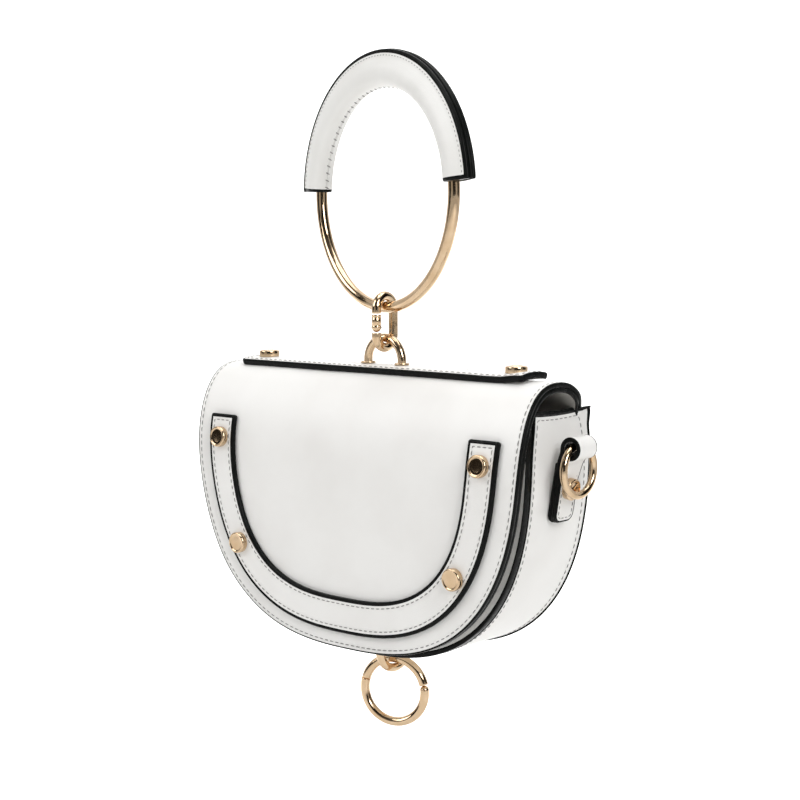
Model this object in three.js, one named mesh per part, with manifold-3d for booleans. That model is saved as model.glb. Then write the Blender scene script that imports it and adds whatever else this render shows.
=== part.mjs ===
// Half-moon leather bag that hangs from a round metal handle.
// Millimetres, +Z up, +X along the bag's width, the flap's front faces -Y.
// The origin is the inside top of the grip, where the handle hangs on a hand.

import * as THREE from 'three';
import { mergeVertices } from 'three/addons/utils/BufferGeometryUtils.js';
import Module from 'manifold-3d';

const wasm = await Module();
wasm.setup();

// Gap kept between neighbouring pieces
const GAP = 0.3;

// Leather sheet that forms the back, the arch over the top and the front flap
const HALF_DEPTH = 28.15;
const ARCH_HEIGHT = 51;
const ARCH_POWER = 2.45;
const FLAP_THICK = 2.2;
const LINING_THICK = 1.8;

// Front outline: half width, drop, height where the side starts to curve, power
const FRONT_OUTLINE = { a: 100, b: 112.7, z0: -14.3, n: 2.63 };
// Body outline, taken from the front outline: narrower each side, shorter, and starting lower
const BODY_INSET = 4;
const BODY_SHORTER = 6.5;
const BODY_LOWER = 9.3;
const BODY_OUTLINE = outlineFrom(FRONT_OUTLINE, BODY_INSET, BODY_SHORTER, BODY_LOWER, 2.66);
const BODY_TOP_RISE = 8.3;
const BODY_TOP = BODY_OUTLINE.z0 + BODY_TOP_RISE;

// Body behind the flap
const PANEL_SETBACK = 10.8;
const PANEL_THICK = 2.2;
const GUSSET_THICK = 1.8;

// U-shaped strap on the flap, its outer edge inside the front outline and its inner edge inside that
const STRAP_INSET = 10.6;
const STRAP_SHORTER = 8.8;
const STRAP_LOWER = 0.9;
const STRAP_OUTER = outlineFrom(FRONT_OUTLINE, STRAP_INSET, STRAP_SHORTER, STRAP_LOWER, 2.635);
const STRAP_WIDTH = 16.8;
const STRAP_WIDTH_BELOW = 20.7;
const STRAP_INNER_LOWER = 4.1;
const STRAP_INNER = outlineFrom(STRAP_OUTER, STRAP_WIDTH, STRAP_WIDTH_BELOW, STRAP_INNER_LOWER, 2.81);
const STRAP_TOP = -24;
const STRAP_THICK = 2.0;

// Strip along the top
const STRIP_HALF_LENGTH = 87.7;
const STRIP_HALF_WIDTH = 8.75;
const STRIP_THICK = 2.7;
const STRIP_CORNER = 2.5;

// Rivets
const RIVET_RADIUS = 5;
const RIVET_HEIGHT = 2.8;
// Upper pair below the strap's top, lower pair above its bottom, each at a share across the strap
const UPPER_RIVET_DROP = 10.5;
const LOWER_RIVET_RISE = 34.4;
const FLAP_RIVET_PAIRS = [
  { z: STRAP_TOP - UPPER_RIVET_DROP, share: 0.5 },
  { z: STRAP_OUTER.z0 - STRAP_OUTER.b + LOWER_RIVET_RISE, share: 0.55 },
];
const TOP_RIVET_INSET = 10.7;
const TAB_RIVET_RADIUS = 4.8;
const TAB_RIVET_HEIGHT = 3.2;

// Wire arches on the top strip and under the bag
const STAPLE_HALF_WIDTH = 10.5;
const STAPLE_RISE = 12.05;
const STAPLE_WIRE = 2.05;
const STAPLE_FOOT_RADIUS = 3.5;
const STAPLE_FOOT_HEIGHT = 0.8;
const STRIP_TOP = GAP + STRIP_THICK;

// Oval link between the handle and the top arch
const LINK_WIRE = 2.2;
const LINK_PLAY = 0.9;
const LINK_HEIGHT = 23.9;
const LINK_PIVOT_RISE = 9.55;
const LINK_GATE_LENGTH = 5.9;
const LINK_PIN_RADIUS = 0.9;
const LINK_PIN_PROUD = 0.4;

// Handle ring and the padded grip over its upper half
const HANDLE_RADIUS = 52.5;
const HANDLE_TUBE = 2.7;
const HANDLE_TURN = -0.22;
const GRIP_START = 4.5;
const GRIP_END = 178.5;
const GRIP_INNER = 4.4;
const GRIP_OUTER = 12.5;
const GRIP_HALF_WIDTH = 5.2;
const GRIP_RIM_HALF = 0.6;
// One half of the grip's section: outwards as a share of the inner or outer reach, across as a share
const GRIP_SECTION = [
  [-1, 0.03], [-0.91, 0.46], [-0.52, 0.83], [0.03, 1], [0.29, 0.98], [0.54, 0.79], [0.77, 0.6], [1, 0.5],
];

// Open ring under the bag
const SIDE_Y = 6;
const LOOP_RADIUS = 15.5;
const LOOP_WIRE = 2.2;
const LOOP_TURN = 0.31;
const LOOP_HINGE_ANGLE = 5;
const LOOP_NOSE_ANGLE = 162;

// Side tabs with their small rings
const TAB_HALF_WIDTH = 6.75;
const TAB_THICK = 4.6;
const TAB_BOTTOM = -59.2;
const TAB_TOP = -38;
const TAB_CORNER = 4;
const ROLL_STANDOFF = 10.3;
const ROLL_Z = -28;
const ROLL_WALL = 1.75;
const TAB_RIVET_Z = -46;
const SIDE_RING_RADIUS = 11;
const SIDE_RING_WIRE = 1.7;

// Sizes that follow from the ones above
const LINK_HALF_WIDTH = HANDLE_TUBE + LINK_WIRE + LINK_PLAY;
const GRIP_BORE = HANDLE_TUBE + GAP;
const STAPLE_APEX = STRIP_TOP + GAP + STAPLE_RISE;
const LINK_BOTTOM = STAPLE_APEX - STAPLE_WIRE - GAP - LINK_WIRE;
const LINK_TOP = LINK_BOTTOM + LINK_HEIGHT;
const HANDLE_BOTTOM = LINK_TOP - LINK_WIRE - GAP - HANDLE_TUBE;
const HANDLE_CENTRE = HANDLE_BOTTOM + HANDLE_RADIUS;
const HANG_HEIGHT = HANDLE_CENTRE + HANDLE_RADIUS - GRIP_INNER;
const BODY_BOTTOM = BODY_OUTLINE.z0 - BODY_OUTLINE.b;
const FRONT_BOTTOM = FRONT_OUTLINE.z0 - FRONT_OUTLINE.b;
const LINK_PIVOT_Z = LINK_BOTTOM + LINK_PIVOT_RISE;
const LINK_NOSE_Z = LINK_PIVOT_Z + LINK_GATE_LENGTH;
// Room for the gate's corner, which swings further out than its end face
const LINK_NOSE_GAP = Math.hypot(LINK_GATE_LENGTH, LINK_WIRE) - LINK_GATE_LENGTH + GAP / 2;
const ROLL_X = BODY_OUTLINE.a + ROLL_STANDOFF;
const TAB_CLEAR = GAP + 0.1;
const TAB_OUT = TAB_CLEAR + TAB_THICK;

// The side ring bends inside its straight loop, so the bore has room for that bend
const RING_BEND = SIDE_RING_RADIUS - Math.sqrt(SIDE_RING_RADIUS ** 2 - TAB_HALF_WIDTH ** 2);
const RING_SLANT = SIDE_RING_WIRE / Math.sqrt(1 - (TAB_HALF_WIDTH / SIDE_RING_RADIUS) ** 2);
const SIDE_RING_LIFT = (RING_BEND + RING_SLANT - SIDE_RING_WIRE) / 2;
const ROLL_BORE = SIDE_RING_LIFT + SIDE_RING_WIRE + GAP + 0.05;
const ROLL_OUTER = ROLL_BORE + ROLL_WALL;

// Reach of the cutting solids, past every piece
const REACH_X = Math.max(FRONT_OUTLINE.a, BODY_OUTLINE.a) + 10;
const REACH_Y = HALF_DEPTH + 20;
const REACH_TOP = STRIP_TOP + 6;
const REACH_BOTTOM = Math.min(BODY_BOTTOM, FRONT_BOTTOM) - 10;

// Facets round the curves
const MOON_STEPS = 48;
const ARCH_STEPS = 38;

// Looks
const leather = new THREE.MeshStandardMaterial({ color: 0xece9e4, roughness: 0.45, metalness: 0 });
const darkLining = new THREE.MeshStandardMaterial({ color: 0x3a3a3b, roughness: 0.7, metalness: 0 });
const edgePaint = new THREE.MeshStandardMaterial({ color: 0x161817, roughness: 0.25, metalness: 0 });
const gold = new THREE.MeshStandardMaterial({ color: 0xe3b983, roughness: 0.16, metalness: 1 });

// Outline that sits inside another one
function outlineFrom(outline, inset, shorter, lower, n) {
  return { a: outline.a - inset, b: outline.b - shorter, z0: outline.z0 - lower, n };
}

// Turns a closed three.js geometry into a solid for cutting and joining
function solid(geometry) {
  const bare = geometry.clone();
  bare.deleteAttribute('normal');
  bare.deleteAttribute('uv');
  const merged = mergeVertices(bare, 1e-4);
  const vertProperties = new Float32Array(merged.attributes.position.array);
  const triVerts = new Uint32Array(merged.index.array);
  return new wasm.Manifold(new wasm.Mesh({ numProp: 3, vertProperties, triVerts }));
}

// Turns a solid back into a geometry
function surface(body) {
  const mesh = body.getMesh();
  const geometry = new THREE.BufferGeometry();
  geometry.setAttribute('position', new THREE.BufferAttribute(new Float32Array(mesh.vertProperties), 3));
  geometry.setIndex(new THREE.BufferAttribute(new Uint32Array(mesh.triVerts), 1));
  geometry.computeVertexNormals();
  return geometry;
}

// Points spread evenly along a polyline
function evenly(points, count) {
  const steps = [0];
  for (let i = 1; i < points.length; i += 1) {
    const dx = points[i][0] - points[i - 1][0];
    const dy = points[i][1] - points[i - 1][1];
    steps.push(steps[i - 1] + Math.hypot(dx, dy));
  }
  const total = steps[steps.length - 1];
  const out = [];
  let j = 1;
  for (let k = 0; k <= count; k += 1) {
    const s = (total * k) / count;
    while (j < points.length - 1 && steps[j] < s) {
      j += 1;
    }
    const f = (s - steps[j - 1]) / (steps[j] - steps[j - 1]);
    out.push([
      points[j - 1][0] + f * (points[j][0] - points[j - 1][0]),
      points[j - 1][1] + f * (points[j][1] - points[j - 1][1]),
    ]);
  }
  return out;
}

// Half-moon curve from its right top end, under the bottom, to its left top end
function halfMoon(outline, count) {
  const { a, b, z0, n } = outline;
  const fine = [];
  for (let i = 0; i <= 3000; i += 1) {
    const t = (Math.PI * i) / 3000;
    const c = Math.cos(t);
    const s = Math.max(Math.sin(t), 0);
    fine.push([a * Math.sign(c) * Math.abs(c) ** (2 / n), z0 - b * s ** (2 / n)]);
  }
  return evenly(fine, count);
}

// Distance from the bag's middle to the half-moon at a height
function halfWidthAt(outline, z) {
  const { a, b, z0, n } = outline;
  if (z >= z0) {
    return a;
  }
  const s = ((z0 - z) / b) ** (n / 2);
  return a * Math.sqrt(1 - s * s) ** (2 / n);
}

// Side view of the sheet: up the front, over the arch and down the back, moved outwards by a distance
function sheetLine(out, count) {
  const fine = [];
  for (let i = 0; i <= 4000; i += 1) {
    const t = (Math.PI * i) / 4000;
    const c = Math.cos(t);
    const s = Math.max(Math.sin(t), 0);
    const y = -HALF_DEPTH * Math.sign(c) * Math.abs(c) ** (2 / ARCH_POWER);
    const z = -ARCH_HEIGHT + ARCH_HEIGHT * s ** (2 / ARCH_POWER);
    fine.push([y, z]);
  }
  const even = evenly(fine, count);
  const arch = [];
  for (let i = 1; i < even.length - 1; i += 1) {
    const dy = even[i + 1][0] - even[i - 1][0];
    const dz = even[i + 1][1] - even[i - 1][1];
    const l = Math.hypot(dy, dz);
    arch.push([even[i][0] - (dz / l) * out, even[i][1] + (dy / l) * out]);
  }
  const edge = HALF_DEPTH + out;
  return [[-edge, REACH_BOTTOM], [-edge, -ARCH_HEIGHT], ...arch, [edge, -ARCH_HEIGHT], [edge, REACH_BOTTOM]];
}

// Point and outward direction on the front of the sheet at a height
function frontAt(z, out) {
  const line = sheetLine(out, 400);
  for (let i = 1; i < line.length; i += 1) {
    const [y0, z0] = line[i - 1];
    const [y1, z1] = line[i];
    if (z0 <= z && z1 >= z) {
      const f = (z - z0) / (z1 - z0);
      const l = Math.hypot(y1 - y0, z1 - z0);
      return { y: y0 + f * (y1 - y0), ny: -(z1 - z0) / l, nz: (y1 - y0) / l };
    }
  }
  return { y: -HALF_DEPTH - out, ny: -1, nz: 0 };
}

function shapeOf(points) {
  const shape = new THREE.Shape();
  shape.moveTo(points[0][0], points[0][1]);
  for (const [u, v] of points.slice(1)) {
    shape.lineTo(u, v);
  }
  shape.closePath();
  return shape;
}

// Extrudes points given as x, z from one y to another
function alongY(points, yFrom, yTo) {
  const geometry = new THREE.ExtrudeGeometry(shapeOf(points), { depth: yTo - yFrom, bevelEnabled: false });
  geometry.rotateX(Math.PI / 2);
  geometry.translate(0, yTo, 0);
  return geometry;
}

// Extrudes points given as y, z from one x to another
function alongX(points, xFrom, xTo) {
  const geometry = new THREE.ExtrudeGeometry(shapeOf(points), { depth: xTo - xFrom, bevelEnabled: false });
  const turn = new THREE.Matrix4().makeBasis(
    new THREE.Vector3(0, 1, 0),
    new THREE.Vector3(0, 0, 1),
    new THREE.Vector3(1, 0, 0),
  );
  geometry.applyMatrix4(turn);
  geometry.translate(xFrom, 0, 0);
  return geometry;
}

// Extrudes points given as x, y from one z to another
function alongZ(points, zFrom, zTo) {
  const geometry = new THREE.ExtrudeGeometry(shapeOf(points), { depth: zTo - zFrom, bevelEnabled: false });
  geometry.translate(0, 0, zFrom);
  return geometry;
}

// Layer of the sheet between two offsets, as wide as needed
function layer(outside, inside, count) {
  const outer = sheetLine(outside, count);
  const inner = sheetLine(inside, count).reverse();
  return solid(alongX([...outer, ...inner], -REACH_X, REACH_X));
}

// Sweeps a round wire along points and rounds the ends that ask for it
function wire(points, radius, sides, side, roundStart = false, roundEnd = false) {
  const across = side.clone().normalize();
  const rings = [];
  const tangentAt = (i) => {
    const before = points[Math.max(i - 1, 0)];
    const after = points[Math.min(i + 1, points.length - 1)];
    return after.clone().sub(before).normalize();
  };
  const addRing = (centre, tangent, r) => {
    const other = new THREE.Vector3().crossVectors(tangent, across).normalize();
    const ring = [];
    for (let k = 0; k < sides; k += 1) {
      const angle = (2 * Math.PI * (k + 0.5)) / sides;
      const point = centre.clone();
      point.addScaledVector(across, r * Math.cos(angle));
      point.addScaledVector(other, r * Math.sin(angle));
      ring.push(point);
    }
    rings.push(ring);
  };
  const dome = [20, 45, 70];
  const first = tangentAt(0);
  if (roundStart) {
    for (const degrees of [...dome].reverse()) {
      const a = THREE.MathUtils.degToRad(degrees);
      addRing(points[0].clone().addScaledVector(first, -radius * Math.sin(a)), first, radius * Math.cos(a));
    }
  }
  points.forEach((point, i) => addRing(point, tangentAt(i), radius));
  const last = tangentAt(points.length - 1);
  if (roundEnd) {
    const end = points[points.length - 1];
    for (const degrees of dome) {
      const a = THREE.MathUtils.degToRad(degrees);
      addRing(end.clone().addScaledVector(last, radius * Math.sin(a)), last, radius * Math.cos(a));
    }
  }
  return skin(rings);
}

// Closed skin through rings of points, capped at both ends
function skin(rings) {
  const sides = rings[0].length;
  const vertices = rings.flat().flatMap((p) => [p.x, p.y, p.z]);
  const index = [];
  for (let i = 0; i < rings.length - 1; i += 1) {
    for (let k = 0; k < sides; k += 1) {
      const a = i * sides + k;
      const b = i * sides + ((k + 1) % sides);
      const c = a + sides;
      const d = b + sides;
      index.push(a, c, b, b, c, d);
    }
  }
  const flat = rings[0].map((p) => p.clone());
  const origin = flat[0];
  const u = flat[1].clone().sub(origin).normalize();
  const normal = new THREE.Vector3();
  for (let k = 0; k < sides; k += 1) {
    const p = flat[k].clone().sub(origin);
    const q = flat[(k + 1) % sides].clone().sub(origin);
    normal.add(new THREE.Vector3().crossVectors(p, q));
  }
  normal.normalize();
  const v = new THREE.Vector3().crossVectors(normal, u);
  const outline = flat.map((p) => {
    const d = p.clone().sub(origin);
    return new THREE.Vector2(d.dot(u), d.dot(v));
  });
  const caps = THREE.ShapeUtils.triangulateShape(outline, []);
  const top = (rings.length - 1) * sides;
  for (const [a, b, c] of caps) {
    index.push(a, b, c);
    index.push(top + c, top + b, top + a);
  }
  const geometry = new THREE.BufferGeometry();
  geometry.setAttribute('position', new THREE.BufferAttribute(new Float32Array(vertices), 3));
  geometry.setIndex(index);
  if (volume(geometry) < 0) {
    const flipped = [];
    for (let i = 0; i < index.length; i += 3) {
      flipped.push(index[i], index[i + 2], index[i + 1]);
    }
    geometry.setIndex(flipped);
  }
  geometry.computeVertexNormals();
  return geometry;
}

function volume(geometry) {
  const p = geometry.attributes.position;
  const index = geometry.index.array;
  const a = new THREE.Vector3();
  const b = new THREE.Vector3();
  const c = new THREE.Vector3();
  let sum = 0;
  for (let i = 0; i < index.length; i += 3) {
    a.fromBufferAttribute(p, index[i]);
    b.fromBufferAttribute(p, index[i + 1]);
    c.fromBufferAttribute(p, index[i + 2]);
    sum += a.dot(b.cross(c)) / 6;
  }
  return sum;
}

const bag = new THREE.Group();
bag.position.z = -HANG_HEIGHT;

function add(name, geometry, material, parent = bag) {
  const mesh = new THREE.Mesh(geometry, material);
  mesh.name = name;
  parent.add(mesh);
  return mesh;
}

// Prisms that give the sheet its front and back outlines
function frontPrism(outline) {
  const curve = halfMoon(outline, MOON_STEPS);
  const points = [[outline.a, REACH_TOP], [-outline.a, REACH_TOP], ...curve.reverse()];
  return solid(alongY(points, -REACH_Y, 0.5));
}

function backPrism(wide, outline) {
  const curve = halfMoon(outline, MOON_STEPS);
  const waist = -FLAP_THICK - GAP - LINING_THICK - 2;
  const points = [[wide, REACH_TOP], [-wide, REACH_TOP], [-wide, waist], ...curve.reverse(), [wide, waist]];
  return solid(alongY(points, -0.5, REACH_Y));
}

// Flap and back as one sheet, with its lining
const front = frontPrism(FRONT_OUTLINE);
const back = backPrism(FRONT_OUTLINE.a, BODY_OUTLINE);
function sheet(outside, inside) {
  const body = layer(outside, inside, ARCH_STEPS);
  return body.intersect(front).add(body.intersect(back));
}
add('flap', surface(sheet(0, -FLAP_THICK)), leather);
const liningFrom = FLAP_THICK + GAP;
add('flap_lining', surface(sheet(-liningFrom, -liningFrom - LINING_THICK)), darkLining);

// Front panel and gusset, which follow the sheet at a distance
const bodyPrism = (() => {
  const curve = halfMoon(BODY_OUTLINE, MOON_STEPS);
  const a = BODY_OUTLINE.a;
  return solid(alongY([[a, BODY_TOP], [-a, BODY_TOP], ...curve.reverse()], -REACH_Y, REACH_Y));
})();
const panelOffset = PANEL_SETBACK + PANEL_THICK;
const panelLayer = layer(-PANEL_SETBACK, -panelOffset, ARCH_STEPS);
const cutHeight = REACH_TOP - REACH_BOTTOM;
const frontBox = new THREE.BoxGeometry(2 * REACH_X, REACH_Y, cutHeight + 20);
const frontHalf = solid(frontBox.translate(0, -REACH_Y / 2, REACH_TOP - cutHeight / 2));
add('front_panel', surface(panelLayer.intersect(bodyPrism).intersect(frontHalf)), leather);

const gussetBand = (() => {
  const outer = halfMoon(BODY_OUTLINE, MOON_STEPS);
  const inset = {
    a: BODY_OUTLINE.a - GUSSET_THICK,
    b: BODY_OUTLINE.b - GUSSET_THICK,
    z0: BODY_OUTLINE.z0,
    n: BODY_OUTLINE.n,
  };
  const inner = halfMoon(inset, MOON_STEPS);
  const points = [[BODY_OUTLINE.a, BODY_TOP], ...outer, [-BODY_OUTLINE.a, BODY_TOP]];
  const returning = [[-inset.a, BODY_TOP], ...inner.reverse(), [inset.a, BODY_TOP]];
  return solid(alongY([...points, ...returning], -REACH_Y, REACH_Y));
})();
const bodyDepth = (() => {
  const frontLine = sheetLine(-panelOffset - GAP, ARCH_STEPS).filter(([y]) => y < 0);
  const backLine = sheetLine(-liningFrom - LINING_THICK - GAP, ARCH_STEPS).filter(([y]) => y > 0);
  return solid(alongX([...frontLine, ...backLine], -REACH_X, REACH_X));
})();
add('gusset', surface(gussetBand.intersect(bodyDepth)), leather);

// U-shaped strap on the flap
const strapPrism = (() => {
  const outer = halfMoon(STRAP_OUTER, MOON_STEPS);
  const inner = halfMoon(STRAP_INNER, MOON_STEPS);
  const points = [
    [STRAP_OUTER.a, REACH_TOP], ...outer, [-STRAP_OUTER.a, REACH_TOP],
    [-STRAP_INNER.a, REACH_TOP], ...inner.reverse(), [STRAP_INNER.a, REACH_TOP],
  ];
  const height = STRAP_TOP - REACH_BOTTOM;
  const below = new THREE.BoxGeometry(2 * REACH_X, 3 * REACH_Y, height);
  below.translate(0, 0, STRAP_TOP - height / 2);
  return solid(alongY(points, -REACH_Y, -HALF_DEPTH / 3)).intersect(solid(below));
})();
add('flap_strap', surface(layer(GAP + STRAP_THICK, GAP, ARCH_STEPS).intersect(strapPrism)), leather);

// Strip along the top of the arch, with rounded corners
const stripOutline = (() => {
  const points = [];
  const corners = [[1, 1, 0], [-1, 1, 90], [-1, -1, 180], [1, -1, 270]];
  for (const [sx, sy, start] of corners) {
    for (let i = 0; i <= 4; i += 1) {
      const angle = THREE.MathUtils.degToRad(start + (90 * i) / 4);
      points.push([
        sx * (STRIP_HALF_LENGTH - STRIP_CORNER) + STRIP_CORNER * Math.cos(angle),
        sy * (STRIP_HALF_WIDTH - STRIP_CORNER) + STRIP_CORNER * Math.sin(angle),
      ]);
    }
  }
  return solid(alongZ(points, STRIP_TOP - 2 * STRIP_HALF_WIDTH, REACH_TOP));
})();
add('top_strip', surface(layer(STRIP_TOP, GAP, ARCH_STEPS).intersect(stripOutline)), leather);

// Rivet head with a raised rim round a flat face, standing on +Z
function rivetHead(radius, height) {
  const profile = [
    new THREE.Vector2(0, 0),
    new THREE.Vector2(radius, 0),
    new THREE.Vector2(radius, height - 0.5),
    new THREE.Vector2(radius - 0.7, height),
    new THREE.Vector2(radius - 1.3, height - 0.3),
    new THREE.Vector2(0, height - 0.3),
  ];
  const geometry = new THREE.LatheGeometry(profile, 16);
  geometry.rotateX(Math.PI / 2);
  return surface(solid(geometry));
}

function place(mesh, position, direction) {
  mesh.position.copy(position);
  mesh.quaternion.setFromUnitVectors(new THREE.Vector3(0, 0, 1), direction.clone().normalize());
}

const flapRivets = FLAP_RIVET_PAIRS.flatMap(({ z, share }) => {
  const inner = halfWidthAt(STRAP_INNER, z);
  const x = inner + share * (halfWidthAt(STRAP_OUTER, z) - inner);
  return [[-x, z], [x, z]];
});
flapRivets.forEach(([x, z], i) => {
  const seat = frontAt(z, STRAP_THICK + 2 * GAP);
  const mesh = add(`flap_rivet_${i + 1}`, rivetHead(RIVET_RADIUS, RIVET_HEIGHT), gold);
  place(mesh, new THREE.Vector3(x, seat.y, z), new THREE.Vector3(0, seat.ny, seat.nz));
});
for (const [name, sign] of [['top_rivet_left', -1], ['top_rivet_right', 1]]) {
  const mesh = add(name, rivetHead(RIVET_RADIUS, RIVET_HEIGHT), gold);
  mesh.position.set(sign * (STRIP_HALF_LENGTH - TOP_RIVET_INSET), 0, STRIP_TOP + GAP);
}

// Wire arch with two foot discs, standing on z = 0 in the x-z plane
function staple() {
  const points = [];
  const spring = STAPLE_RISE - STAPLE_HALF_WIDTH;
  points.push(new THREE.Vector3(STAPLE_HALF_WIDTH, 0, 0));
  for (let i = 0; i <= 14; i += 1) {
    const a = (Math.PI * i) / 14;
    points.push(new THREE.Vector3(STAPLE_HALF_WIDTH * Math.cos(a), 0, spring + STAPLE_HALF_WIDTH * Math.sin(a)));
  }
  points.push(new THREE.Vector3(-STAPLE_HALF_WIDTH, 0, 0));
  let body = solid(wire(points, STAPLE_WIRE, 10, new THREE.Vector3(0, 1, 0)));
  for (const sign of [-1, 1]) {
    const foot = new THREE.CylinderGeometry(STAPLE_FOOT_RADIUS, STAPLE_FOOT_RADIUS, STAPLE_FOOT_HEIGHT, 16);
    foot.rotateX(Math.PI / 2);
    foot.translate(sign * STAPLE_HALF_WIDTH, 0, STAPLE_FOOT_HEIGHT / 2);
    body = body.add(solid(foot));
  }
  return surface(body);
}
const topStaple = add('top_staple', staple(), gold);
topStaple.position.set(0, 0, STRIP_TOP + GAP);
const bottomStaple = add('bottom_staple', staple(), gold);
bottomStaple.rotation.set(Math.PI, 0, Math.PI / 2, 'ZYX');
bottomStaple.position.set(0, SIDE_Y, BODY_BOTTOM - GAP);

// Oval link in the y-z plane, open on its front leg where the gate sits
const linkBody = (() => {
  const points = [];
  const topCentre = LINK_TOP - LINK_HALF_WIDTH;
  const bottomCentre = LINK_BOTTOM + LINK_HALF_WIDTH;
  points.push(new THREE.Vector3(0, -LINK_HALF_WIDTH, LINK_NOSE_Z + LINK_NOSE_GAP));
  for (let i = 0; i <= 12; i += 1) {
    const a = Math.PI - (Math.PI * i) / 12;
    points.push(new THREE.Vector3(0, LINK_HALF_WIDTH * Math.cos(a), topCentre + LINK_HALF_WIDTH * Math.sin(a)));
  }
  for (let i = 0; i <= 12; i += 1) {
    const a = -(Math.PI * i) / 12;
    points.push(new THREE.Vector3(0, LINK_HALF_WIDTH * Math.cos(a), bottomCentre + LINK_HALF_WIDTH * Math.sin(a)));
  }
  points.push(new THREE.Vector3(0, -LINK_HALF_WIDTH, LINK_PIVOT_Z - LINK_WIRE - GAP));
  return wire(points, LINK_WIRE, 12, new THREE.Vector3(1, 0, 0));
})();
add('link', linkBody, gold);

const linkGate = (() => {
  const points = [
    new THREE.Vector3(0, -LINK_HALF_WIDTH, LINK_PIVOT_Z),
    new THREE.Vector3(0, -LINK_HALF_WIDTH, LINK_NOSE_Z),
  ];
  const bar = solid(wire(points, LINK_WIRE, 12, new THREE.Vector3(1, 0, 0), true, false));
  const pin = new THREE.CylinderGeometry(LINK_PIN_RADIUS, LINK_PIN_RADIUS, 2 * (LINK_WIRE + LINK_PIN_PROUD), 10);
  pin.rotateZ(Math.PI / 2);
  pin.translate(0, -LINK_HALF_WIDTH, LINK_PIVOT_Z);
  return surface(bar.add(solid(pin)));
})();
add('link_gate', linkGate, gold);

// Handle: the ring's own frame has X across, Z up and Y along the ring's axis
const handle = new THREE.Group();
handle.position.z = HANDLE_CENTRE;
handle.rotation.z = HANDLE_TURN;
bag.add(handle);
const ringGeometry = new THREE.TorusGeometry(HANDLE_RADIUS, HANDLE_TUBE, 12, 56);
ringGeometry.rotateX(Math.PI / 2);
add('handle_ring', surface(solid(ringGeometry)), gold, handle);

// Sweeps a section, given as outwards and sideways distances, round part of the handle
function aroundHandle(section, from, to, count) {
  const rings = [];
  for (let i = 0; i <= count; i += 1) {
    const angle = THREE.MathUtils.degToRad(from + ((to - from) * i) / count);
    const ring = section.map(([out, across]) => {
      const r = HANDLE_RADIUS + out;
      return new THREE.Vector3(r * Math.cos(angle), across, r * Math.sin(angle));
    });
    rings.push(ring);
  }
  return skin(rings);
}

const gripHalf = (sign) => {
  const section = GRIP_SECTION.map(([out, across]) => [
    out < 0 ? out * GRIP_INNER : out * GRIP_OUTER,
    across * GRIP_HALF_WIDTH,
  ]);
  const rimSide = GRIP_RIM_HALF + GAP;
  section.push([GRIP_OUTER, rimSide]);
  const first = Math.asin(rimSide / GRIP_BORE);
  const last = Math.PI - Math.asin((GAP / 2) / GRIP_BORE);
  for (let i = 0; i <= 6; i += 1) {
    const a = first + ((last - first) * i) / 6;
    section.push([GRIP_BORE * Math.cos(a), GRIP_BORE * Math.sin(a)]);
  }
  return section.map(([out, across]) => [out, sign * across]);
};
add('grip_front', aroundHandle(gripHalf(-1), GRIP_START, GRIP_END, 28), leather, handle);
add('grip_back', aroundHandle(gripHalf(1), GRIP_START, GRIP_END, 28), leather, handle);
const rimIn = GRIP_BORE + 0.4;
const rimOut = GRIP_OUTER + 0.2;
const rim = [[rimIn, -GRIP_RIM_HALF], [rimOut, -GRIP_RIM_HALF], [rimOut, GRIP_RIM_HALF], [rimIn, GRIP_RIM_HALF]];
add('grip_rim', aroundHandle(rim, GRIP_START, GRIP_END, 28), edgePaint, handle);

// Open ring under the bag, in its own frame like the handle's
const loop = new THREE.Group();
const loopTop = BODY_BOTTOM - GAP - STAPLE_RISE + STAPLE_WIRE + GAP + LOOP_WIRE;
loop.position.set(0, SIDE_Y, loopTop - LOOP_RADIUS);
loop.rotation.z = LOOP_TURN;
bag.add(loop);
function loopArc(from, to, count) {
  const points = [];
  for (let i = 0; i <= count; i += 1) {
    const a = THREE.MathUtils.degToRad(from + ((to - from) * i) / count);
    points.push(new THREE.Vector3(LOOP_RADIUS * Math.cos(a), 0, LOOP_RADIUS * Math.sin(a)));
  }
  return points;
}
const hingeClear = THREE.MathUtils.radToDeg((LOOP_WIRE + GAP) / LOOP_RADIUS);
const noseClear = THREE.MathUtils.radToDeg(0.4 / LOOP_RADIUS);
const upperArc = loopArc(LOOP_HINGE_ANGLE + hingeClear, LOOP_NOSE_ANGLE, 18);
add('bottom_ring', wire(upperArc, LOOP_WIRE, 12, new THREE.Vector3(0, 1, 0)), gold, loop);
const lowerArc = loopArc(LOOP_HINGE_ANGLE, LOOP_NOSE_ANGLE + noseClear - 360, 24);
add('bottom_gate', wire(lowerArc, LOOP_WIRE, 12, new THREE.Vector3(0, 1, 0), true, false), gold, loop);

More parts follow.
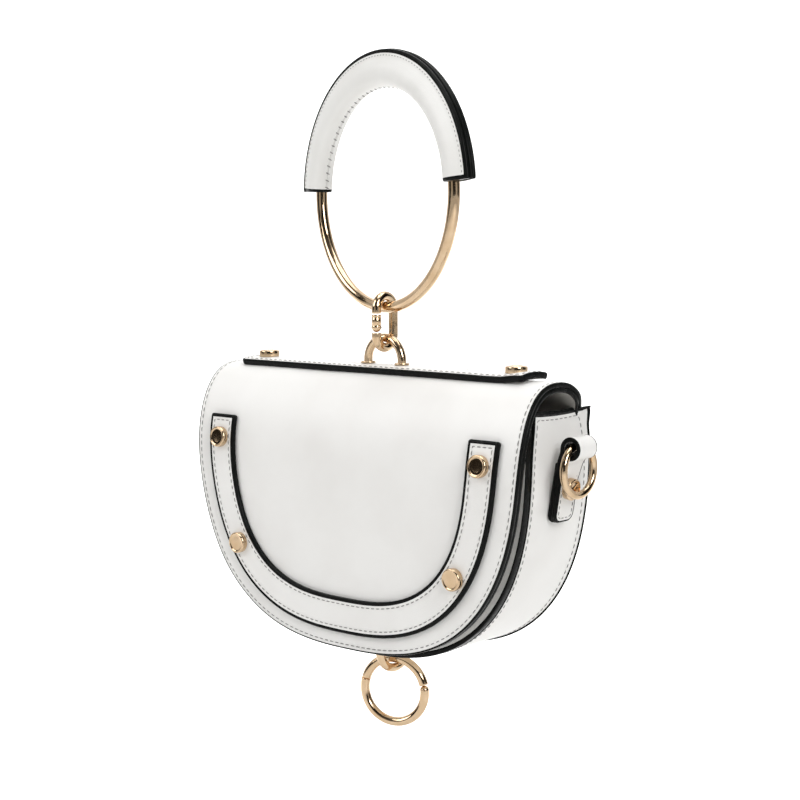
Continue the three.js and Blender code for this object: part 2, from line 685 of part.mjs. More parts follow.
// Side tab: a plate on the gusset that ends in a rolled loop, seen along y
function sideTab() {
  const heights = [0, 0.25, 0.5, 0.75, 1].map((f) => TAB_BOTTOM + f * (TAB_TOP - TAB_BOTTOM));
  const inner = heights.map((z) => [halfWidthAt(BODY_OUTLINE, z) + TAB_CLEAR, z]);
  const outer = heights.map((z) => [halfWidthAt(BODY_OUTLINE, z) + TAB_OUT, z]).reverse();
  const plate = [...inner, ...outer];
  const neck = [
    [halfWidthAt(BODY_OUTLINE, TAB_TOP) + TAB_CLEAR, TAB_TOP - 0.2 * TAB_THICK],
    [halfWidthAt(BODY_OUTLINE, TAB_TOP) + TAB_OUT, TAB_TOP - 0.6 * TAB_THICK],
    [ROLL_X + 0.63 * ROLL_OUTER, ROLL_Z - 0.7 * ROLL_OUTER],
    [ROLL_X - 0.9 * ROLL_OUTER, ROLL_Z + 0.4 * ROLL_OUTER],
  ];
  const yFrom = SIDE_Y - TAB_HALF_WIDTH;
  const yTo = SIDE_Y + TAB_HALF_WIDTH;
  let body = solid(alongY(orient(plate), yFrom, yTo));
  body = body.add(solid(alongY(orient(neck), yFrom, yTo)));
  const roll = new THREE.CylinderGeometry(ROLL_OUTER, ROLL_OUTER, yTo - yFrom, 20);
  roll.translate(ROLL_X, SIDE_Y, ROLL_Z);
  body = body.add(solid(roll));
  const bore = new THREE.CylinderGeometry(ROLL_BORE, ROLL_BORE, 40, 20);
  bore.translate(ROLL_X, SIDE_Y, ROLL_Z);
  body = body.subtract(solid(bore));
  const corners = solid(alongX(tabFace(), BODY_OUTLINE.a / 2, ROLL_X + 2 * ROLL_OUTER));
  return body.intersect(corners);
}

// Outline of the tab from the side, with its rounded lower end, as y, z points
function tabFace() {
  const points = [];
  const r = TAB_CORNER;
  for (let i = 0; i <= 5; i += 1) {
    const a = Math.PI + (Math.PI / 2) * (i / 5);
    points.push([SIDE_Y - TAB_HALF_WIDTH + r + r * Math.cos(a), TAB_BOTTOM + r + r * Math.sin(a)]);
  }
  for (let i = 0; i <= 5; i += 1) {
    const a = 1.5 * Math.PI + (Math.PI / 2) * (i / 5);
    points.push([SIDE_Y + TAB_HALF_WIDTH - r + r * Math.cos(a), TAB_BOTTOM + r + r * Math.sin(a)]);
  }
  points.push([SIDE_Y + TAB_HALF_WIDTH, ROLL_Z + 2 * ROLL_OUTER]);
  points.push([SIDE_Y - TAB_HALF_WIDTH, ROLL_Z + 2 * ROLL_OUTER]);
  return points;
}

// Puts points in anticlockwise order
function orient(points) {
  return THREE.ShapeUtils.area(points.map(([u, v]) => new THREE.Vector2(u, v))) < 0 ? [...points].reverse() : points;
}

const rightTab = sideTab();
for (const [side, sign] of [['left', -1], ['right', 1]]) {
  const tab = sign > 0 ? rightTab : rightTab.mirror([1, 0, 0]);
  add(`side_tab_${side}`, surface(tab), leather);
  const seat = halfWidthAt(BODY_OUTLINE, TAB_RIVET_Z + TAB_RIVET_RADIUS) + TAB_OUT + GAP;
  const rivet = add(`tab_rivet_${side}`, rivetHead(TAB_RIVET_RADIUS, TAB_RIVET_HEIGHT), gold);
  place(rivet, new THREE.Vector3(sign * seat, SIDE_Y, TAB_RIVET_Z), new THREE.Vector3(sign, 0, 0));
  const ring = new THREE.TorusGeometry(SIDE_RING_RADIUS, SIDE_RING_WIRE, 10, 26);
  ring.rotateY(Math.PI / 2);
  const ringMesh = add(`side_ring_${side}`, surface(solid(ring)), gold);
  ringMesh.position.set(sign * ROLL_X, SIDE_Y, ROLL_Z + SIDE_RING_LIFT - SIDE_RING_RADIUS);
}

const part = new THREE.Group();
part.add(bag);
export default part;
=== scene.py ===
"""Half-moon leather bag under a round metal handle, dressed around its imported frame."""

import math

import bpy
import numpy as np
from mathutils import Matrix, Vector, geometry


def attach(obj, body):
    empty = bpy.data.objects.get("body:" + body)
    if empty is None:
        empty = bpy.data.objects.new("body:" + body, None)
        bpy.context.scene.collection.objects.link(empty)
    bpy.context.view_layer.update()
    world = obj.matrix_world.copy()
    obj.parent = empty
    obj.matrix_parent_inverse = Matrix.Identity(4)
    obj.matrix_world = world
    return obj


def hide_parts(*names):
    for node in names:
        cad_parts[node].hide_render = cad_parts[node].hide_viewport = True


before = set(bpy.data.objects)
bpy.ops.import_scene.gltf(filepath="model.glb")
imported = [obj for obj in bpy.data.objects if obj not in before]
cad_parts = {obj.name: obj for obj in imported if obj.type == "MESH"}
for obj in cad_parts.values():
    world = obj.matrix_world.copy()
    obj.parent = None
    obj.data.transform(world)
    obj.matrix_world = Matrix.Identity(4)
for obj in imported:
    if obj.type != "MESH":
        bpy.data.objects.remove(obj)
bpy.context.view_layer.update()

# Sizes in millimetres. Heights are measured from the top of the arch, and the part's origin is HANG above it.
# Outlines are (half width, depth below the widest place, height of the widest place, power).
# The floor and the camera are in metres and radians, in the part's frame.
HANG = 130.1
HALF_DEPTH = 28.15
ARCH_HEIGHT = 51.0
ARCH_POWER = 2.45
FRONT = (100.0, 112.7, -14.3, 2.63)
BODY = (96.0, 106.2, -23.6, 2.66)
PANEL_TOP = -18.4
PANEL_PAINT = 0.5
PANEL_PAINT_BELOW = 2.2
GUSSET_TOP = -12.9
BACK = (95.5, 105.7, -23.6, 2.66)
FLAP_THICK = 2.2
LINING_FROM = 2.26
LINING_TO = 4.3
WAIST_Z = -6.3
SHOULDER_Z = -15.0
PANEL_FROM = 10.2
PANEL_TO = 13.9
GUSSET_FRONT = 13.95
GUSSET_BACK = 0.6
GUSSET_THICK = 1.8
GUSSET_CURL = 2.0
STRAP_OUTER = (89.4, 103.9, -15.2, 2.635)
STRAP_INNER = (72.6, 83.2, -19.3, 2.81)
STRAP_TOP = -24.0
STRAP_OUT = 2.3
STRIP_LENGTH = 87.7
STRIP_WIDTH = 8.75
STRIP_TOP = 3.0
STRIP_LIFT_FROM = 73.0
TOP_RIVET_X = 77.0
RIVET_PAIRS = ((-34.5, 0.5), (-84.7, 0.55))
SIDE_Y = 6.0
TAB_HALF = 6.75
TAB_THICK = 4.4
TAB_BOTTOM = -61.2
TAB_TOP = -34.2
TAB_CORNER = 4.0
TAB_RIVET_Z = -46.0
CROSS_STITCH_Z = -37.6
TAB_FOOT = 94.0
TAB_LEAN = 0.17
ROLL_X = 106.3
ROLL_Z = -28.0
ROLL_BORE = 3.45
ROLL_OUTER = 5.17
HANDLE_CENTRE = 82.0
HANDLE_RADIUS = 52.5
HANDLE_TUBE = 2.7
HANDLE_TURN = -0.22
GRIP_ENDS = (4.5, 178.5)
GRIP_SEAM = 9.8
LOOP_CENTRE = -153.1
LOOP_RADIUS = 15.5
LOOP_TURN = 0.31
WIRE = 2.2
STAPLE_HALF = 10.5
STAPLE_RISE = 12.05
STAPLE_WIRE = 2.05
STAPLE_SEAT = 0.3
BAG_BOTTOM = -129.8
LINK_BOTTOM = 10.8
LINK_TOP = 34.7
LINK_PIVOT = LINK_BOTTOM + 9.55
LINK_GATE = 5.9
LINK_ROOM = 0.9
LOOP_NOSE = 5
LOOP_HINGE = 162
SIDE_RING_RADIUS = 11
SIDE_RING_WIRE = 1.7
SIDE_RING_SAG = 1.38
RIVET_RADIUS = 5.0
RIVET_HEIGHT = 3.05
RIVET_SEAT = 2.6
TAB_RIVET_RADIUS = 4.8
TAB_RIVET_HEIGHT = 3.4
FLAP_SEAM = 2.3
STRAP_SEAM = 3.0
STRIP_SEAM = 2.2
GUSSET_SEAM = 2.6
TAB_SEAM = 2.1
FLOOR_Z = -0.42
FLOOR_YAW = 0.734
CAMERA_YAW = 0.7254
CAMERA_PITCH = 0.1008
CAMERA_ROLL = -0.0031
CAMERA_PLACE = (0.52633, -0.58318, -0.06446)
FOCAL_PIXELS = 1693.2
IMAGE_PIXELS = 800
SENSOR = 36


def row(points):
    """Millimetres from the arch's top to metres in the part's frame."""
    p = np.array(points, float).reshape(-1, 3) / 1000
    p[:, 2] -= HANG / 1000
    return p


# Materials

def material(name, base, rough, metal=0.0, coat=0.0):
    m = bpy.data.materials.new(name)
    m.use_nodes = True
    shader = m.node_tree.nodes["Principled BSDF"]
    shader.inputs["Base Color"].default_value = (*base, 1)
    shader.inputs["Roughness"].default_value = rough
    shader.inputs["Metallic"].default_value = metal
    shader.inputs["Coat Weight"].default_value = coat
    return m, m.node_tree, shader


def texture(tree, kind, scale, detail=2.0, stretch=(1, 1, 1)):
    """Texture in object space, its scale given as features per metre."""
    where = tree.nodes.new("ShaderNodeTexCoord")
    mapping = tree.nodes.new("ShaderNodeMapping")
    mapping.inputs["Scale"].default_value = stretch
    tree.links.new(where.outputs["Object"], mapping.inputs["Vector"])
    node = tree.nodes.new(kind)
    node.inputs["Scale"].default_value = scale
    if "Detail" in node.inputs:
        node.inputs["Detail"].default_value = detail
    tree.links.new(mapping.outputs["Vector"], node.inputs["Vector"])
    return node


def ramp(tree, source, stops):
    node = tree.nodes.new("ShaderNodeValToRGB")
    first, last = node.color_ramp.elements[0], node.color_ramp.elements[1]
    first.position, last.position = stops[0][0], stops[-1][0]
    first.color, last.color = (*stops[0][1], 1), (*stops[-1][1], 1)
    for place, colour in stops[1:-1]:
        extra = node.color_ramp.elements.new(place)
        extra.color = (*colour, 1)
    tree.links.new(source, node.inputs["Fac"])
    return node.outputs["Color"]


def spread(tree, source, low, high):
    node = tree.nodes.new("ShaderNodeMapRange")
    node.inputs["To Min"].default_value = low
    node.inputs["To Max"].default_value = high
    tree.links.new(source, node.inputs["Value"])
    return node.outputs["Result"]


def bump(tree, shader, heights, strength):
    """Stacks heights, each with its depth in metres, into the shader's normal."""
    normal = None
    for source, depth in heights:
        node = tree.nodes.new("ShaderNodeBump")
        node.inputs["Strength"].default_value = strength
        node.inputs["Distance"].default_value = depth
        tree.links.new(source, node.inputs["Height"])
        if normal is not None:
            tree.links.new(normal, node.inputs["Normal"])
        normal = node.outputs["Normal"]
    tree.links.new(normal, shader.inputs["Normal"])


def leather_material(name, light, dark, rough):
    m, tree, shader = material(name, light, rough)
    cloud = texture(tree, "ShaderNodeTexNoise", 28, 3)
    tone = ramp(tree, cloud.outputs["Fac"], [(0.3, dark), (0.62, light)])
    tree.links.new(tone, shader.inputs["Base Color"])
    pebble = texture(tree, "ShaderNodeTexVoronoi", 1500)
    fine = texture(tree, "ShaderNodeTexNoise", 3400, 3)
    crease = texture(tree, "ShaderNodeTexNoise", 95, 4)
    tree.links.new(spread(tree, cloud.outputs["Fac"], rough - 0.06, rough + 0.08), shader.inputs["Roughness"])
    heights = [
        (crease.outputs["Fac"], 0.00025),
        (pebble.outputs["Distance"], 0.00005),
        (fine.outputs["Fac"], 0.00003),
    ]
    bump(tree, shader, heights, 0.5)
    return m


white = leather_material("white_leather", (0.826, 0.817, 0.797), (0.785, 0.772, 0.75), 0.4)
# Darker copy of the white leather for the grip: painted shade, standing in for the shade that falls on the
# grip.
shaded_padded_white = leather_material("white_leather_padded_painted_shade", (0.80, 0.792, 0.77), (0.755, 0.745, 0.718), 0.42)
lining = leather_material("dark_lining", (0.46, 0.445, 0.415), (0.37, 0.355, 0.33), 0.28)


def edge_material():
    m, tree, shader = material("edge_paint", (0.006, 0.0065, 0.0062), 0.25)
    shader.inputs["Specular IOR Level"].default_value = 0.07
    wave = texture(tree, "ShaderNodeTexNoise", 260, 3)
    fine = texture(tree, "ShaderNodeTexNoise", 1500, 2)
    tone = ramp(tree, wave.outputs["Fac"], [(0.3, (0.0035, 0.004, 0.0038)), (0.7, (0.008, 0.0085, 0.008))])
    tree.links.new(tone, shader.inputs["Base Color"])
    tree.links.new(spread(tree, fine.outputs["Fac"], 0.16, 0.3), shader.inputs["Roughness"])
    bump(tree, shader, [(wave.outputs["Fac"], 0.0006), (fine.outputs["Fac"], 0.00005)], 0.5)
    return m


def gold_material():
    m, tree, shader = material("light_gold", (0.68, 0.50, 0.322), 0.1, metal=1.0)
    smudge = texture(tree, "ShaderNodeTexNoise", 160, 4)
    fine = texture(tree, "ShaderNodeTexNoise", 2600, 2)
    tone = ramp(tree, smudge.outputs["Fac"], [(0.3, (0.62, 0.44, 0.268)), (0.7, (0.73, 0.55, 0.368))])
    tree.links.new(tone, shader.inputs["Base Color"])
    tree.links.new(spread(tree, smudge.outputs["Fac"], 0.06, 0.15), shader.inputs["Roughness"])
    bump(tree, shader, [(smudge.outputs["Fac"], 0.00022), (fine.outputs["Fac"], 0.00001)], 0.4)
    return m


def thread_material():
    m, tree, shader = material("grey_thread", (0.3, 0.295, 0.285), 0.6)
    twist = texture(tree, "ShaderNodeTexWave", 900)
    tone = ramp(tree, twist.outputs["Fac"], [(0.2, (0.15, 0.147, 0.143)), (0.8, (0.38, 0.373, 0.36))])
    tree.links.new(tone, shader.inputs["Base Color"])
    bump(tree, shader, [(twist.outputs["Fac"], 0.00008)], 0.6)
    return m


black = edge_material()
gold = gold_material()
thread = thread_material()


# Curves and profiles

def along(points):
    return np.r_[0, np.cumsum(np.linalg.norm(np.diff(points, axis=0), axis=1))]


def evenly(points, step):
    p = np.array(points, float)
    d = along(p)
    t = np.linspace(0, d[-1], max(2, round(d[-1] / step)) + 1)
    return np.stack([np.interp(t, d, p[:, k]) for k in range(p.shape[1])], 1)


def half_moon(outline, step=1.5):
    """From the right top end, under the bottom, to the left top end."""
    a, b, z0, n = outline
    t = np.linspace(0, math.pi, 3001)
    c = np.cos(t)
    s = np.clip(np.sin(t), 0, None)
    return evenly(np.stack([a * np.sign(c) * np.abs(c) ** (2 / n), z0 - b * s ** (2 / n)], 1), step)


def half_width(outline, z):
    a, b, z0, n = outline
    s = np.clip((z0 - np.asarray(z, float)) / b, 0, 1) ** (n / 2)
    return a * np.sqrt(1 - s * s) ** (2 / n)


def normals(line):
    """Unit normals to the left of an open line."""
    slope = np.gradient(line, axis=0)
    slope /= np.linalg.norm(slope, axis=1)[:, None]
    return np.stack([-slope[:, 1], slope[:, 0]], 1)


def smoothed(values, count):
    """Running mean over an odd count of rows."""
    kernel = np.ones(count) / count
    padded = np.pad(values, ((count // 2, count // 2), (0, 0)), mode="edge")
    return np.stack([np.convolve(padded[:, k], kernel, "valid") for k in (0, 1)], 1)


def arch_line():
    """The bag's section: its points, their normals and their distance from the top."""
    t = np.linspace(0, math.pi, 4001)
    c = np.cos(t)
    s = np.clip(np.sin(t), 0, None)
    y = -HALF_DEPTH * np.sign(c) * np.abs(c) ** (2 / ARCH_POWER)
    z = -ARCH_HEIGHT + ARCH_HEIGHT * s ** (2 / ARCH_POWER)
    line = evenly(np.stack([y, z], 1), 0.15)
    normal = smoothed(normals(line), 9)
    normal /= np.linalg.norm(normal, axis=1)[:, None]
    d = along(line)
    return line, normal, d - d[-1] / 2


ARCH, ARCH_NORMAL, ARCH_S = arch_line()
ARCH_HALF = ARCH_S[-1]


def on_sheet(x, s, out):
    """Point on the bag's sheet: s runs from the arch's top, below zero down the front."""
    x, s, out = np.broadcast_arrays(np.asarray(x, float), s, out)
    y = np.interp(s, ARCH_S, ARCH[:, 0])
    z = np.interp(s, ARCH_S, ARCH[:, 1]) - np.clip(np.abs(s) - ARCH_HALF, 0, None)
    ny = np.interp(s, ARCH_S, ARCH_NORMAL[:, 0])
    nz = np.interp(s, ARCH_S, ARCH_NORMAL[:, 1])
    return np.stack([x, y + ny * out, z + nz * out], -1)


def front_s(z, out=0.0):
    """Place down the front of the sheet, or of a layer inside it, at a height."""
    s = np.linspace(-ARCH_HALF - 120, 0, 4000)
    heights = on_sheet(0 * s, s, out)[:, 2]
    return np.interp(z, np.maximum.accumulate(heights), s)


def depth_at(z, out, back=False):
    """Distance in y of a layer of the sheet at a height."""
    s = np.linspace(-ARCH_HALF - 120, 0, 4000)
    p = on_sheet(0 * s, s, out)
    y = np.interp(z, np.maximum.accumulate(p[:, 2]), p[:, 1])
    return -y if back else y


def anticlockwise(loop):
    x, y = loop[:, 0], loop[:, 1]
    area = np.sum(x * np.roll(y, -1) - np.roll(x, -1) * y)
    return loop[::-1].copy() if area < 0 else loop


def joined(parts, radius, step=1.0):
    """Closed loop through open curves, with each corner between them rounded."""
    trimmed = []
    for part in parts:
        p = np.array(part, float)
        d = along(p)
        t = np.linspace(radius, d[-1] - radius, max(2, round((d[-1] - 2 * radius) / step)) + 1)
        trimmed.append(np.stack([np.interp(t, d, p[:, k]) for k in (0, 1)], 1))
    loop = []
    for i, part in enumerate(trimmed):
        nxt = trimmed[(i + 1) % len(trimmed)]
        corner = (np.array(parts[i][-1], float) + np.array(parts[(i + 1) % len(parts)][0], float)) / 2
        loop.extend(part)
        for f in np.linspace(0, 1, 7)[1:-1]:
            loop.append((1 - f) ** 2 * part[-1] + 2 * f * (1 - f) * corner + f * f * nxt[0])
    return anticlockwise(np.array(loop))


def inward(loop):
    t = np.roll(loop, -1, 0) - np.roll(loop, 1, 0)
    t /= np.linalg.norm(t, axis=1)[:, None]
    return np.stack([-t[:, 1], t[:, 0]], 1)


def distance_to(points, loop):
    """Distance from each point to a closed loop."""
    a = loop
    b = np.roll(loop, -1, 0)
    ab = b - a
    size = np.maximum((ab * ab).sum(1), 1e-12)
    out = np.empty(len(points))
    for i in range(0, len(points), 400):
        p = points[i:i + 400, None, :]
        f = np.clip(((p - a) * ab).sum(2) / size, 0, 1)
        out[i:i + 400] = np.sqrt((((a + f[..., None] * ab) - p) ** 2).sum(2).min(1))
    return out


def within(points, loop):
    inside = np.zeros(len(points), bool)
    for a, b in zip(loop, np.roll(loop, -1, 0)):
        hit = (a[1] > points[:, 1]) != (b[1] > points[:, 1])
        if hit.any():
            cross = (b[0] - a[0]) * (points[hit, 1] - a[1]) / (b[1] - a[1]) + a[0]
            inside[hit] ^= points[hit, 0] < cross
    return inside


# Pieces

def new_piece(name, verts, faces, mats, which=None, smooth=True):
    mesh = bpy.data.meshes.new(name)
    mesh.from_pydata([tuple(v) for v in row(verts)], [], [tuple(int(i) for i in f) for f in faces])
    for m in mats:
        mesh.materials.append(m)
    if which is not None:
        mesh.polygons.foreach_set("material_index", np.asarray(which, np.int32))
    mesh.polygons.foreach_set("use_smooth", np.full(len(mesh.polygons), smooth))
    mesh.update()
    obj = bpy.data.objects.new(name, mesh)
    bpy.context.scene.collection.objects.link(obj)
    return obj


def settle(obj, body, slot, *nodes):
    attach(obj, body)
    if nodes:
        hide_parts(*nodes)
    return obj


RIM_POWER = 2 / 2.7


def leather_sheet(
    name, loop, place, outer, inner, face, back, grid=3.0, seams=(), paint=1.0, ridges=0, wave=None, soft=0.75
):
    """Sheet of leather over a closed loop, with bulged painted edges and dents along its seams."""
    loop = anticlockwise(loop)
    into = inward(loop)
    thick = outer - inner
    middle = (outer + inner) / 2
    paint = np.broadcast_to(np.asarray(paint, float), len(loop))[:, None]
    soft = np.minimum(min(soft, 0.45 * thick), paint - 0.12)
    rim = [(paint, outer - 0.02), (paint - 0.1, outer + 0.05), (soft, outer + 0.06)]
    for degrees in (15, 30, 45, 60, 75, 90):
        a = math.radians(degrees)
        bulge = (thick / 2 + 0.06) * math.cos(a) ** RIM_POWER
        rim.append((soft * (1 - math.sin(a) ** RIM_POWER), middle + bulge))
    if ridges:
        body = []
        for k in range(1, 4 * ridges):
            f = k / (4 * ridges)
            dent = 0.28 * math.sin(math.pi * ridges * f) ** 2 if ridges > 1 else 0
            body.append((0.28 - dent, outer - 0.35 - f * (thick - 0.7)))
        rim = rim[:8] + body + [(d, 2 * middle - o) for d, o in reversed(rim[:8])]
    else:
        rim = rim + [(d, 2 * middle - o) for d, o in reversed(rim[:-1])]
    edge = loop + into * paint
    free = []
    for line in seams:
        for step in (-0.45, -0.22, 0.0, 0.22, 0.45):
            ring = loop + into * (line + step)
            free.append(ring[distance_to(ring, loop) > line + step - 0.03])
    reach = (max(seams) + 0.45 if seams else paint.max()) + 0.45 * grid
    low = loop.min(0)
    high = loop.max(0)
    nx = max(1, math.ceil((high[0] - low[0]) / grid))
    ny = max(1, math.ceil((high[1] - low[1]) / grid))
    gx, gy = np.meshgrid(np.linspace(low[0], high[0], nx + 1), np.linspace(low[1], high[1], ny + 1))
    gx = gx + (np.arange(ny + 1) % 2 * 0.5 * (high[0] - low[0]) / nx)[:, None]
    cells = np.stack([gx.ravel(), gy.ravel()], 1)
    cells = cells[within(cells, loop)]
    cells = cells[distance_to(cells, loop) > reach]
    flat = np.vstack([edge, *free, cells])
    count = len(edge)
    border = [(i, (i + 1) % count) for i in range(count)]
    found, _, tris, origin, _, _ = geometry.delaunay_2d_cdt([Vector(p) for p in flat], border, [], 1, 1e-6)
    flat = np.array([tuple(p) for p in found])
    spot = {o: i for i, group in enumerate(origin) for o in group}
    ring_ids = np.array([spot[i] for i in range(count)])
    tris = np.array([tuple(t) for t in tris])
    depth = distance_to(flat, loop)
    dent = np.zeros(len(flat))
    for line in seams:
        dent += 0.16 * np.exp(-((depth - line) / 0.28) ** 2)
    lift = np.zeros(len(flat)) if wave is None else wave(flat)
    top = place(flat[:, 0], flat[:, 1], outer - dent + lift)
    under = place(flat[:, 0], flat[:, 1], inner + lift)
    verts = [top, under]
    faces = [tris, tris[:, ::-1] + len(flat)]
    kinds = [np.zeros(len(tris), int), np.full(len(tris), 2)]
    start = 2 * len(flat)
    rows = [ring_ids]
    for inset, out in rim[1:-1]:
        ring = loop + into * inset
        rise = 0 if wave is None else wave(ring)
        verts.append(place(ring[:, 0], ring[:, 1], out + rise))
        rows.append(np.arange(start, start + count))
        start += count
    rows.append(ring_ids + len(flat))
    for a, b in zip(rows, rows[1:]):
        faces.append(np.stack([a, b, np.roll(b, -1), np.roll(a, -1)], 1))
        kinds.append(np.ones(count, int))
    faces = [tuple(f) for group in faces for f in group]
    return new_piece(name, np.vstack(verts), faces, [face, black, back], np.concatenate(kinds))


def swept(sections, closed=False, caps=True):
    """Vertices and faces of a skin through sections with equal counts of points."""
    sections = np.asarray(sections, float)
    n, m = sections.shape[:2]
    verts = sections.reshape(-1, 3)
    faces = []
    for i in range(n if closed else n - 1):
        j = (i + 1) % n
        for k in range(m):
            q = (k + 1) % m
            faces.append((i * m + k, i * m + q, j * m + q, j * m + k))
    if caps and not closed:
        faces.append(tuple(range(m))[::-1])
        faces.append(tuple((n - 1) * m + k for k in range(m)))
    return verts, faces


def facing_out(verts, faces):
    verts = np.asarray(verts)
    total = 0.0
    for f in faces:
        a = verts[f[0]]
        for p, q in zip(f[1:], f[2:]):
            total += np.dot(a, np.cross(verts[p], verts[q]))
    return faces if total > 0 else [tuple(reversed(f)) for f in faces]


def merged(groups):
    """Joins (vertices, faces) pairs."""
    verts, faces, start = [], [], 0
    for v, f in groups:
        verts.append(np.asarray(v).reshape(-1, 3))
        faces.extend(tuple(i + start for i in face) for face in f)
        start += len(verts[-1])
    return np.vstack(verts), faces


def radius_at(radius, i):
    return float(radius) if np.isscalar(radius) else float(radius[i])


def tube(points, radius, across, sides=28, closed=False, domes=(False, False)):
    """Round wire in a plane whose normal is across; radius is one number or one for each point."""
    p = np.asarray(points, float)
    r = np.broadcast_to(np.asarray(radius, float), (len(p),)).copy()
    across = np.asarray(across, float) / np.linalg.norm(across)
    if closed:
        t = np.roll(p, -1, 0) - np.roll(p, 1, 0)
    else:
        t = np.gradient(p, axis=0)
    t /= np.linalg.norm(t, axis=1)[:, None]
    p, r, t = list(p), list(r), list(t)
    if domes[0]:
        for a in np.radians((15, 30, 45, 60, 75, 86)):
            p.insert(0, points[0] - t[0] * radius_at(radius, 0) * math.sin(a))
            r.insert(0, radius_at(radius, 0) * math.cos(a))
            t.insert(0, t[0])
    if domes[1]:
        for a in np.radians((15, 30, 45, 60, 75, 86)):
            p.append(points[-1] + t[-1] * radius_at(radius, -1) * math.sin(a))
            r.append(radius_at(radius, -1) * math.cos(a))
            t.append(t[-1])
    angle = np.linspace(0, 2 * math.pi, sides, endpoint=False)
    sections = []
    for centre, size, direction in zip(p, r, t):
        other = np.cross(direction, across)
        sections.append(centre + size * (np.cos(angle)[:, None] * across + np.sin(angle)[:, None] * other))
    verts, faces = swept(sections, closed)
    return verts, facing_out(verts, faces)


def turned(profile, sides=40):
    """Solid turned about +Z from (radius, height) points, bottom to top."""
    angle = np.linspace(0, 2 * math.pi, sides, endpoint=False)
    sections = []
    for r, h in profile:
        sections.append(np.stack([r * np.cos(angle), r * np.sin(angle), np.full(sides, float(h))], 1))
    verts, faces = swept(sections)
    return verts, facing_out(verts, faces)


def placed(shape, position, z_axis, x_axis=(1, 0, 0)):
    verts, faces = shape
    z = np.asarray(z_axis, float) / np.linalg.norm(z_axis)
    x = np.asarray(x_axis, float) - np.dot(x_axis, z) * z
    x /= np.linalg.norm(x)
    turn = np.stack([x, np.cross(z, x), z], 1)
    return np.asarray(verts) @ turn.T + np.asarray(position, float), faces


def metal_piece(name, groups, body, nodes):
    verts, faces = merged(groups)
    obj = new_piece(name, verts, faces, [gold])
    flat = [p for p in obj.data.polygons if len(p.vertices) > 4]
    for p in flat:
        p.use_smooth = False
    return settle(obj, body, "gold", *nodes)


def stitch_row(line, place, out, pitch=3.3, share=0.74, radius=0.22, closed=True, rise=0.06):
    """Threads laid along a line in the sheet's own coordinates."""
    if closed:
        line = np.vstack([line, line[:1]])
    d = along(line)
    count = max(1, round(d[-1] / pitch))
    step = d[-1] / count
    groups = []
    for i in range(count):
        t = (i + 0.5 + np.linspace(-0.5, 0.5, 6) * share) * step
        u = np.interp(t, d, line[:, 0])
        v = np.interp(t, d, line[:, 1])
        f = np.linspace(-1, 1, 6)
        sink = -0.32 * np.abs(f) ** 3
        centre = place(u, v, out + rise + sink)
        above = place(u, v, out + rise + sink + 1.0)
        normal = above - centre
        normal /= np.linalg.norm(normal, axis=1)[:, None]
        t3 = np.gradient(centre, axis=0)
        t3 /= np.linalg.norm(t3, axis=1)[:, None]
        side = np.cross(t3, normal)
        size = radius * np.array([0.45, 0.9, 1.0, 1.0, 0.9, 0.45])
        angle = np.linspace(0, 2 * math.pi, 6, endpoint=False)
        sections = [
            c + r * (np.cos(angle)[:, None] * a + np.sin(angle)[:, None] * b)
            for c, r, a, b in zip(centre, size, side, normal)
        ]
        verts, faces = swept(sections)
        groups.append((verts, facing_out(verts, faces)))
    return groups


def stitches(name, groups, body):
    verts, faces = merged(groups)
    return settle(new_piece(name, verts, faces, [thread]), body, "edge")


# Flap, arch and back in one sheet, with the dark lining under it

def sheet_loop(narrower=0.0):
    front = half_moon(FRONT, 2.0)
    back = half_moon(BACK, 2.0)
    front_part = [(x, front_s(z)) for x, z in front]
    back_part = [(x, -front_s(z)) for x, z in back[::-1]]
    waist = -front_s(WAIST_Z)
    shoulder = -front_s(SHOULDER_Z)
    points = front_part
    points += [(-FRONT[0], s) for s in np.linspace(front_part[-1][1], waist, 8)[1:]]
    points += [(-BACK[0] - 0.2, shoulder)]
    points += back_part
    points += [(BACK[0] + 0.2, shoulder)]
    points += [(FRONT[0], s) for s in np.linspace(waist, front_part[0][1], 8)]
    p = evenly(np.array(points), 0.8)[:-1]
    for _ in range(14):
        p = 0.5 * p + 0.25 * (np.roll(p, 1, 0) + np.roll(p, -1, 0))
    loop = anticlockwise(evenly(np.vstack([p, p[:1]]), 1.6)[:-1])
    return loop + inward(loop) * narrower


def ripple(flat):
    """Slight unevenness of leather that is glued over a stiff board."""
    x, s = flat[:, 0], flat[:, 1]
    w = np.sin(x * 0.071 + 0.6) * np.sin(s * 0.058 + 1.1) + 0.5 * np.sin(x * 0.13 - s * 0.09 + 2.0)
    return 0.1 * w


flap_loop = sheet_loop()
flap = leather_sheet(
    "flap_leather", flap_loop, on_sheet, 0, -FLAP_THICK, white, lining, 3.2,
    seams=(FLAP_SEAM,), paint=0.9, wave=ripple,
)
settle(flap, "bag", "leather", "flap")
lining_sheet = leather_sheet(
    "flap_lining_leather", sheet_loop(0.12), on_sheet, -LINING_FROM, -LINING_TO, lining, lining, 3.4,
    seams=(FLAP_SEAM,), paint=0.9,
)
settle(lining_sheet, "bag", "lining", "flap_lining")
flap_threads = stitch_row(flap_loop + inward(flap_loop) * FLAP_SEAM, on_sheet, -0.02)

# U-shaped strap

def strap_side(shape):
    """One long side of the strap, from its right end round the bottom to its left end."""
    curve = half_moon(shape)
    end = half_width(shape, STRAP_TOP)
    below = curve[curve[:, 1] < STRAP_TOP]
    curve = np.vstack([[end, STRAP_TOP], below, [-end, STRAP_TOP]])
    return np.stack([curve[:, 0], front_s(curve[:, 1])], 1)


